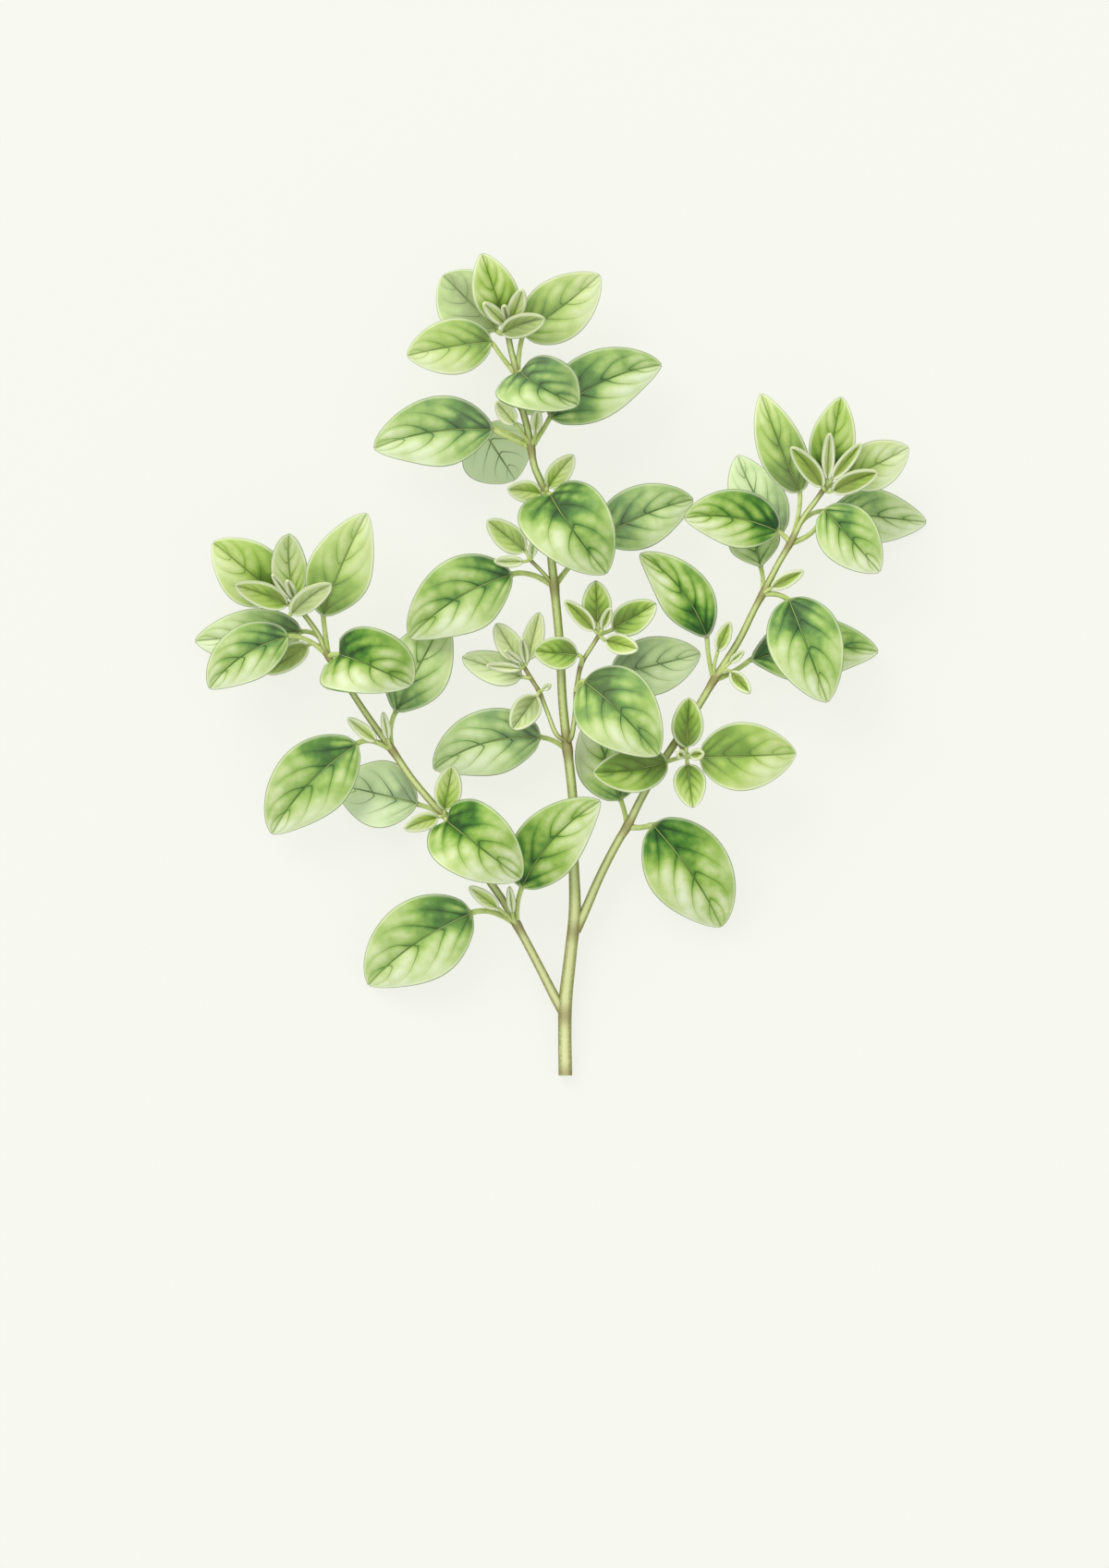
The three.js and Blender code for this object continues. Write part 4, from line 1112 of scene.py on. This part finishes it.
# %% [markdown]
# ## Marjoram leaf, upper side
#
# A living leaf's green is deep at the base and opens to yellow-green towards the tip, and its veins
# are darker lines. Beside a vein the green is painted deeper, as painted shade in its groove, and
# the puffed parts between the veins are painted lighter, as painted highlights, unevenly with noise.
# The half of each blade that faces the lamp is painted paler, as painted light. A pale midrib leads
# in from the stalk, and a thin dark line runs just inside the pale margin. Young leaves are yellower,
# with fainter lines and cream margins, and those that grew in the shade are greyer. First one number
# says how light the green is at each point, and a ramp turns it into a colour. Then each other colour
# is laid over that, one by one, with the share that it has at each point.

# %% Upper leaf: how light the green is
BLOTCH = 5.0 * MM
BLOTCH_RANGE = (0.3, 0.68)  # of the noise
PUFF_HIGHLIGHT_AND_BLOTCH = (0.65, 0.35)  # how much a puff and a flat part are lightened by the blotches: the puffs' extra is painted highlight
HIGHLIGHT_BY_YOUTH = (-0.3, 0.46)  # how much the painted highlights and blotches count: what youth adds, and the least
DEEP_BASE = {"depth": ("along", 0.0, 0.6, -0.26, -0.04)}

leaf_upper, tree = new_material("marjoram_leaf_upper")
place = add(tree, "TexCoord").outputs["Object"]
fact = facts(tree, POINT_FACTS)
veins, puff, painted_vein_shade = vein_nodes(tree, fact, place)
blotch = add(tree, "TexNoise", {"Vector": place, "Scale": 1 / BLOTCH, "Detail": 3.0})
low, high = BLOTCH_RANGE
blotch = add(tree, "MapRange", {"Value": blotch, "From Min": low, "From Max": high})
on_puff, off_puff = PUFF_HIGHLIGHT_AND_BLOTCH
highlight_and_blotch = add(tree, "Math", {0: puff, 1: on_puff, 2: off_puff}, operation="MULTIPLY_ADD")
highlight_and_blotch = add(tree, "Math", {0: highlight_and_blotch, 1: blotch}, operation="MULTIPLY")
by_youth, least = HIGHLIGHT_BY_YOUTH
highlight_share = add(tree, "Math", {0: fact["youth"], 1: by_youth, 2: least}, operation="MULTIPLY_ADD")
light = add_fades(tree, fact, DEEP_BASE, "SMOOTHSTEP")["depth"]
# Some of these weights are painted light: the highlights on the puffs, the painted shade beside the veins,
# and, in the tone, the paler painted half that faces the lamp.
for part, weight in (
    (fact["along"], 0.4),
    (fact["outward"], 0.22),
    (highlight_and_blotch, highlight_share),
    (blotch, 0.16),
    (fact["tone"], 1.0),
    (fact["youth"], 0.2),
    (painted_vein_shade, -0.12),
):
    light = add(tree, "Math", {0: part, 1: weight, 2: light}, operation="MULTIPLY_ADD")
print("nodes that say how light the green is:", len(tree.nodes))

# %% Upper leaf: its colours
LEAF_GREENS = ((0.0, "#194a0c"), (0.2, "#467c1c"), (0.44, "#8eb14b"), (0.7, "#bcce8a"), (1.0, "#d7e2bc"))
VEIN_GREEN = "#294f10"
YOUNG_GREEN = "#b6cb5a"
SHADE_GREEN = "#d5e8ba"
BUD_CREAM = "#e2eab2"
MARGIN_LINE = "#5d8036"
RIM_CREAM = "#eef3d3"
STALK_GREEN = "#b6c877"
EDGE_FADES = {  # millimetres, but for the two that follow the leaf's length
    "pale_rib": ("from_midrib", 0.06, 0.15, 0.85, 0.0),
    "near_stalk": ("along", 0.1, 0.6, 1.0, 0.0),
    "foot": ("along", 0.0, 0.035, 0.7, 0.0),
    "edge": ("from_margin", 0.15, 0.6, 1.0, 0.0),
    "line": ("from_margin", 0.05, 0.23, 0.8, 0.0),
}
YOUTH_WEIGHTS = {  # what youth adds to the share of a colour, and its share on an old leaf
    "veins": (-0.4, 0.8),
    "edge": (0.45, 0.5),
    "line": (-0.6, 1.0),
}

greens = add(tree, "ValToRGB", {"Fac": light})
set_stops(greens, LEAF_GREENS)
shade_tints = {"Factor": fact["youth"], "A": linear(SHADE_GREEN), "B": linear(BUD_CREAM)}
washed = add(tree, "Mix", shade_tints, data_type="RGBA")
young = add(tree, "Math", {0: fact["youth"], 1: 0.55}, operation="MULTIPLY")
shade = add(tree, "Math", {0: light, 1: 0.6, 2: 0.48}, operation="MULTIPLY_ADD", use_clamp=True)
shade = add(tree, "Math", {0: fact["pale"], 1: shade}, operation="MULTIPLY")
share = {"veins": veins, **add_fades(tree, fact, EDGE_FADES, "LINEAR")}
for name, (by_youth, when_old) in YOUTH_WEIGHTS.items():
    weight = add(tree, "Math", {0: fact["youth"], 1: by_youth, 2: when_old}, operation="MULTIPLY_ADD")
    share[name] = add(tree, "Math", {0: share[name], 1: weight}, operation="MULTIPLY")
pale_rib = add(tree, "Math", {0: share["pale_rib"], 1: share["near_stalk"]}, operation="MULTIPLY")
green = greens
for part, colour in (
    (young, linear(YOUNG_GREEN)),
    (shade, washed),
    (share["veins"], linear(VEIN_GREEN)),
    (pale_rib, linear(STALK_GREEN)),
    (share["foot"], linear(STALK_GREEN)),
    (share["edge"], linear(RIM_CREAM)),
    (share["line"], linear(MARGIN_LINE)),
):
    green = add(tree, "Mix", {"Factor": part, "A": green, "B": colour}, data_type="RGBA")
bump = leaf_relief(tree, place, veins, puff, vein_height=-0.2)
finish_living(tree, green, bump, roughness=0.5)
print("upper leaf nodes:", len(tree.nodes))

# %% [markdown]
# ## Marjoram leaf, underside and rim
#
# The underside has more down and less green than the top, so it looks grey-green, and its veins
# stand up instead of lying in grooves. The rim is where the two skins meet. On a grown leaf it is
# a little darker than the margins beside it, and on a young leaf it is cream.

# %% Underside and rim materials
UNDER_GREENS = ((0.0, "#7f9c63"), (0.5, "#9bb480"), (1.0, "#b6caa0"))
UNDER_VEIN = "#c3d3a6"
RIM_GREENS = ((0.35, "#64873a"), (0.65, "#8fae5c"))
BUD_RIM = "#dde5b4"

leaf_under, tree = new_material("marjoram_leaf_underside")
place = add(tree, "TexCoord").outputs["Object"]
fact = facts(tree, POINT_FACTS)
veins, puff, _ = vein_nodes(tree, fact, place)
light = add(tree, "Math", {0: fact["along"], 1: 0.4, 2: 0.1}, operation="MULTIPLY_ADD")
light = add(tree, "Math", {0: puff, 1: 0.35, 2: light}, operation="MULTIPLY_ADD")
greens = add(tree, "ValToRGB", {"Fac": light})
set_stops(greens, UNDER_GREENS)
ridge = add(tree, "Math", {0: veins, 1: 0.7}, operation="MULTIPLY")
green = add(tree, "Mix", {"Factor": ridge, "A": greens, "B": linear(UNDER_VEIN)}, data_type="RGBA")
bump = leaf_relief(tree, place, veins, puff, vein_height=0.25)
finish_living(tree, green, bump, roughness=0.7)

leaf_rim = add_patterned(
    "marjoram_leaf_rim", "TexNoise", size=2, detail=2.0, stops=RIM_GREENS, young=(0.85, BUD_RIM),
    strength=0.3, depth=0.1, roughness=0.6,
)
print("leaf materials:", [leaf_upper.name, leaf_under.name, leaf_rim.name])

# %% [markdown]
# ## Which way a stem's points face
#
# A young stem is pale green-yellow, and straw-coloured towards its foot, where it has begun to go
# woody. Its side that faces the lamp is painted paler, as a painted highlight, and its other sides
# and underneath a deeper olive, as painted shade. Its four corners are olive too, and it turns brown
# at each fork and pair of leaves.
# The stem's mesh was made ring by ring, so a point's number says where it is round the square, and
# the middle of its ring says which way it faces. Its points also keep how far the nearest joint or
# fork is.

# %% Stem facts
AWAY_FROM_SUN = Vector((0.45, -0.1, -0.89))  # the way that gets the least light
STEM_FACTS = ("ridge", "to_joint", "away", "under")


def stem_facts_at(i, places, joints):
    """What the stem's material reads at one of its points, in the order of STEM_FACTS."""
    start = i - i % SECTION_POINTS
    ring = places[start : start + SECTION_POINTS]
    outward = (places[i] - sum(ring, Vector()) / len(ring)).normalized()
    ridge = math.sin(2 * math.tau * (i - start) / SECTION_POINTS) ** 2
    to_joint = min((places[i] / MM - joint).length for joint in joints)
    return ridge, to_joint, outward.dot(AWAY_FROM_SUN), -outward.z


stem_feet = [Vector(axis[0][:3]) for axis in AXES.values()]
for name, stem in stems.items():
    places = [v.co.copy() for v in stem.data.vertices]
    joints = [*joints_of(name).values(), *stem_feet]
    rows = [stem_facts_at(i, places, joints) for i in range(len(places))]
    for fact_name, values in zip(STEM_FACTS, zip(*rows)):
        stem.data.attributes.new(fact_name, "FLOAT", "POINT").data.foreach_set("value", values)
print("stem points:", {name: len(stem.data.vertices) for name, stem in stems.items()})

# %% [markdown]
# ## Marjoram stem, leaf stalk and pith
#
# The stem's skin is grown, not made, so it has fine streaks along with its bloom of down. Its
# colours are laid over each other as the leaf's were: the cream of a painted highlight, corner olive,
# the olive of painted shade and the brown of the joints. The leaf stalks are yellow-green all round.
# Pith is a mass of small pale cells, about a tenth of a millimetre wide, which a Voronoi pattern draws.

# %% Stem, stalk and pith materials
STEM_STRAWS = ((0.0, "#c8ca92"), (0.25, "#bbc880"), (0.6, "#abc26a"), (1.0, "#aac672"))
STEM_RISE = (-0.075, 0.06)  # from the foot of the sprig to its top
# Sun cream is a painted highlight and shade olive is painted shade; the other colours are the stem's own.
SUN_CREAM = "#e6ecb6"
CORNER_OLIVE = "#7f7d36"
SHADE_OLIVE = "#6c7a2c"
JOINT_BROWN = "#6f5a2c"
STREAK = 0.5 * MM  # the skin's own streaks are finer, and this is as fine as shows
STALK_YELLOWS = ((0.3, "#a6ba62"), (0.7, "#c3d089"))
PITH_PALES = ((0.0, "#eceed2"), (0.8, "#cdd5a0"))
STEM_FADES = {
    # Painted light: sunny lays a painted highlight on the side facing the lamp, shady and under lay
    # painted shade on the far sides and underneath.
    "sunny": ("away", -0.95, -0.45, 0.4, 0.0),
    "ridge": ("ridge", 0.25, 0.95, 0.0, 1.3),
    "shady": ("away", -0.45, 0.25, 0.0, 0.75),
    "under": ("under", -0.85, -0.35, 0.0, 0.85),
}
JOINT_FADE = {"brown": ("to_joint", 0.5, 3.2, 0.65, 0.0)}

stem_skin, tree = new_material("marjoram_stem")
place = add(tree, "TexCoord").outputs["Object"]
fact = facts(tree, STEM_FACTS)
height = add(tree, "SeparateXYZ", {"Vector": place}).outputs["Y"]
low, high = STEM_RISE
rising = add(tree, "MapRange", {"Value": height, "From Min": low, "From Max": high})
colour = add(tree, "ValToRGB", {"Fac": rising})
set_stops(colour, STEM_STRAWS)
streaks = add(tree, "TexNoise", {"Vector": place, "Scale": 1 / STREAK, "Detail": 3.0})
share = add_fades(tree, fact, STEM_FADES, "LINEAR")
ridge = add(tree, "Math", {0: share["ridge"], 1: streaks}, operation="MULTIPLY")
shady = add(tree, "Math", {0: share["shady"], 1: share["under"]}, operation="MAXIMUM")
brown = add_fades(tree, fact, JOINT_FADE, "SMOOTHSTEP")["brown"]
# In turn: painted highlight, the corners' own olive, painted shade, and the joints' own brown.
for part, tint in (
    (share["sunny"], SUN_CREAM),
    (ridge, CORNER_OLIVE),
    (shady, SHADE_OLIVE),
    (brown, JOINT_BROWN),
):
    colour = add(tree, "Mix", {"Factor": part, "A": colour, "B": linear(tint)}, data_type="RGBA")
bump = add(tree, "Bump", {"Height": streaks, "Strength": 0.5, "Distance": 0.15 * MM})
finish_living(tree, colour, bump, roughness=0.55)

leaf_stalk = add_patterned(
    "marjoram_leaf_stalk", "TexNoise", size=1.2, detail=3.0, stops=STALK_YELLOWS,
    strength=0.4, depth=0.1, roughness=0.55,
)
pith = add_patterned(
    "marjoram_pith", "TexVoronoi", size=0.12, stops=PITH_PALES, strength=0.4, depth=0.05, roughness=0.7
)
print("stem materials:", [stem_skin.name, leaf_stalk.name, pith.name])

# %% [markdown]
# ## Down
#
# Marjoram is soft to the touch because fine pale hairs stand on it, closest along the margins of
# the leaves and on the stems. A hair particle system would do for a picture, but it is lost when
# the model is exported. So one hair is modelled, a three-sided spike, and its few points are copied
# thousands of times, each copy leaned, stretched and set a little into the skin that it grows from.

# %% One hair


def add_hair():
    """One upright spike, standing on the origin, 1 tall and 1 wide."""
    bpy.ops.object.select_all(action="DESELECT")
    bpy.ops.mesh.primitive_cone_add(vertices=3, radius1=1, radius2=0, depth=1, location=(0, 0, 0.5))
    bpy.ops.object.mode_set(mode="EDIT")
    bpy.ops.mesh.select_all(action="SELECT")
    bpy.ops.transform.resize(value=(0.5, 0.5, 1))
    bpy.ops.object.mode_set(mode="OBJECT")
    bpy.ops.object.transform_apply()
    return bpy.context.object


hair = add_hair()
hair_points = [v.co[:] for v in hair.data.vertices]
hair_faces = [face.vertices[:] for face in hair.data.polygons]
bpy.data.objects.remove(hair)
print("a hair has", len(hair_points), "points and", len(hair_faces), "faces")

# %% Where the hairs grow
HAIR_GAP = 0.36  # mm between two hairs of a margin
HAIRS_PER_MM2 = 2.2  # on a stem
HAIRS_PER_MM = 3.5  # along a leaf stalk
HAIRY_PART = (0.1, 0.9)  # of a leaf stalk's length
HAIR_LEAN = 0.6  # how far a hair leans towards the tip of what it grows on
HAIR_STRAY = 0.35  # how far it leans any way at all
chance = Random(5)


def stray():
    """A small random lean."""
    return Vector([chance.uniform(-HAIR_STRAY, HAIR_STRAY) for axis in "xyz"])


def margin_spots(form):
    """Where the hairs of a leaf's margins stand, and which way."""
    steps = int(form.length / HAIR_GAP)
    for i in range(1, steps):
        place, normal, across = form.midrib(i / steps)
        for side in (-1, 1):
            lean = normal.cross(across) * HAIR_LEAN + stray()
            yield blade_point(form, i / steps, side), across * side + lean


def stalk_spots(form):
    """Where the hairs of a leaf's stalk stand, and which way."""
    along = form.base - form.joint
    for i in range(int(along.length * HAIRS_PER_MM)):
        share = chance.uniform(*HAIRY_PART)
        out = along.cross(stray()).normalized()
        place = bent(form.joint, form.turn, form.base, share)
        yield place + out * form.stalk * STALK_WAIST, out + stray()


def stem_spots(stem):
    """Where the hairs of a stem stand, and which way."""
    for face in stem.data.polygons:
        for i in range(int(face.area / MM**2 * HAIRS_PER_MM2 + chance.random())):
            corner = stem.data.vertices[chance.choice(face.vertices)].co
            place = face.center.lerp(corner, chance.random())
            yield place / MM, face.normal + stray()


print("hairs along one margin of the first leaf:", int(forms["main_stem"][0].length / HAIR_GAP) - 1)

# %% Down
HAIR_LENGTHS = (0.2, 0.4)  # mm
HAIR_WIDTH = 0.035
HAIR_SUNK = 0.06
HAIR_WHITES = ((0.35, "#dfe8bf"), (0.65, "#f3f6e6"))


def add_down(name, spots):
    """One mesh with a copy of the hair at each spot. None goes down into the table."""
    verts, faces = [], []
    for place, way in spots:
        if place.z < HAIR_LENGTHS[1]:
            way.z = abs(way.z)
        turn = way.to_track_quat("Z", "X")
        length = chance.uniform(*HAIR_LENGTHS)
        first = len(verts)
        for x, y, z in hair_points:
            point = place + turn @ Vector((x * HAIR_WIDTH, y * HAIR_WIDTH, z * length - HAIR_SUNK))
            point.z = max(point.z, 0)
            verts.append(point * MM)
        faces.extend([first + i for i in face] for face in hair_faces)
    mesh = bpy.data.meshes.new(name)
    mesh.from_pydata(verts, [], faces)
    return add_object(name, mesh)


downs = {}
for name, row in forms.items():
    spots = [spot for form in row for grow in (margin_spots, stalk_spots) for spot in grow(form)]
    downs[name] = add_down(name + "_down", spots + list(stem_spots(stems[name])))

down_white = add_patterned(
    "marjoram_down", "TexNoise", size=0.5, stops=HAIR_WHITES, strength=0.2, depth=0.01, roughness=0.6
)
for down in downs.values():
    down.data.materials.append(down_white)
print("hairs:", {name: len(down.data.polygons) // len(hair_faces) for name, down in downs.items()})

# %% [markdown]
# ## Thickness, finish and pieces
#
# The bent sheets have no thickness yet. Solidify gives each one a second skin, with the underside's
# material, and closes the margin between the two with the rim's. The stalks join their stem. So
# each leafy stem is three pieces: its leaves, its stem with the stalks, and its down. Then every
# piece rides on the root, and the CAD solid of its leafy stem is hidden.

# %% Finish the pieces
SMOOTH_UNDER = math.radians(50)  # a stem's edges that are sharper than this stay sharp


def thicken(leaves):
    """Turns the bent sheets into blades with an upper side, an underside and a rim."""
    for material in (leaf_upper, leaf_under, leaf_rim):
        leaves.data.materials.append(material)
    only(leaves)
    bpy.ops.object.modifier_add(type="SOLIDIFY")
    solidify = leaves.modifiers[-1]
    solidify.thickness = BLADE_THICKNESS * MM
    solidify.offset = 0
    solidify.material_offset = 1
    solidify.material_offset_rim = 2
    bpy.ops.object.modifier_apply(modifier=solidify.name)
    bpy.ops.object.shade_smooth()


def finish_stem(name):
    """Gives a stem and its stalks their materials, and joins them."""
    stem = stems[name]
    skins = [stem_skin, leaf_stalk, pith]
    for material in skins:
        stem.data.materials.append(material)
    if name == "main_stem":
        for index in pith_faces:
            stem.data.polygons[index].material_index = skins.index(pith)
    stalks[name].data.materials.append(leaf_stalk)
    whole = join(name + "_stem", [stem, stalks[name]])
    bpy.ops.object.shade_smooth_by_angle(angle=SMOOTH_UNDER)
    return whole


for name, leaves in blades.items():
    thicken(leaves)
    for piece in (leaves, finish_stem(name), downs[name]):
        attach(piece, "root")
        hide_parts(name)
        piece.data.calc_loop_triangles()
        print(piece.name, "triangles:", len(piece.data.loop_triangles))
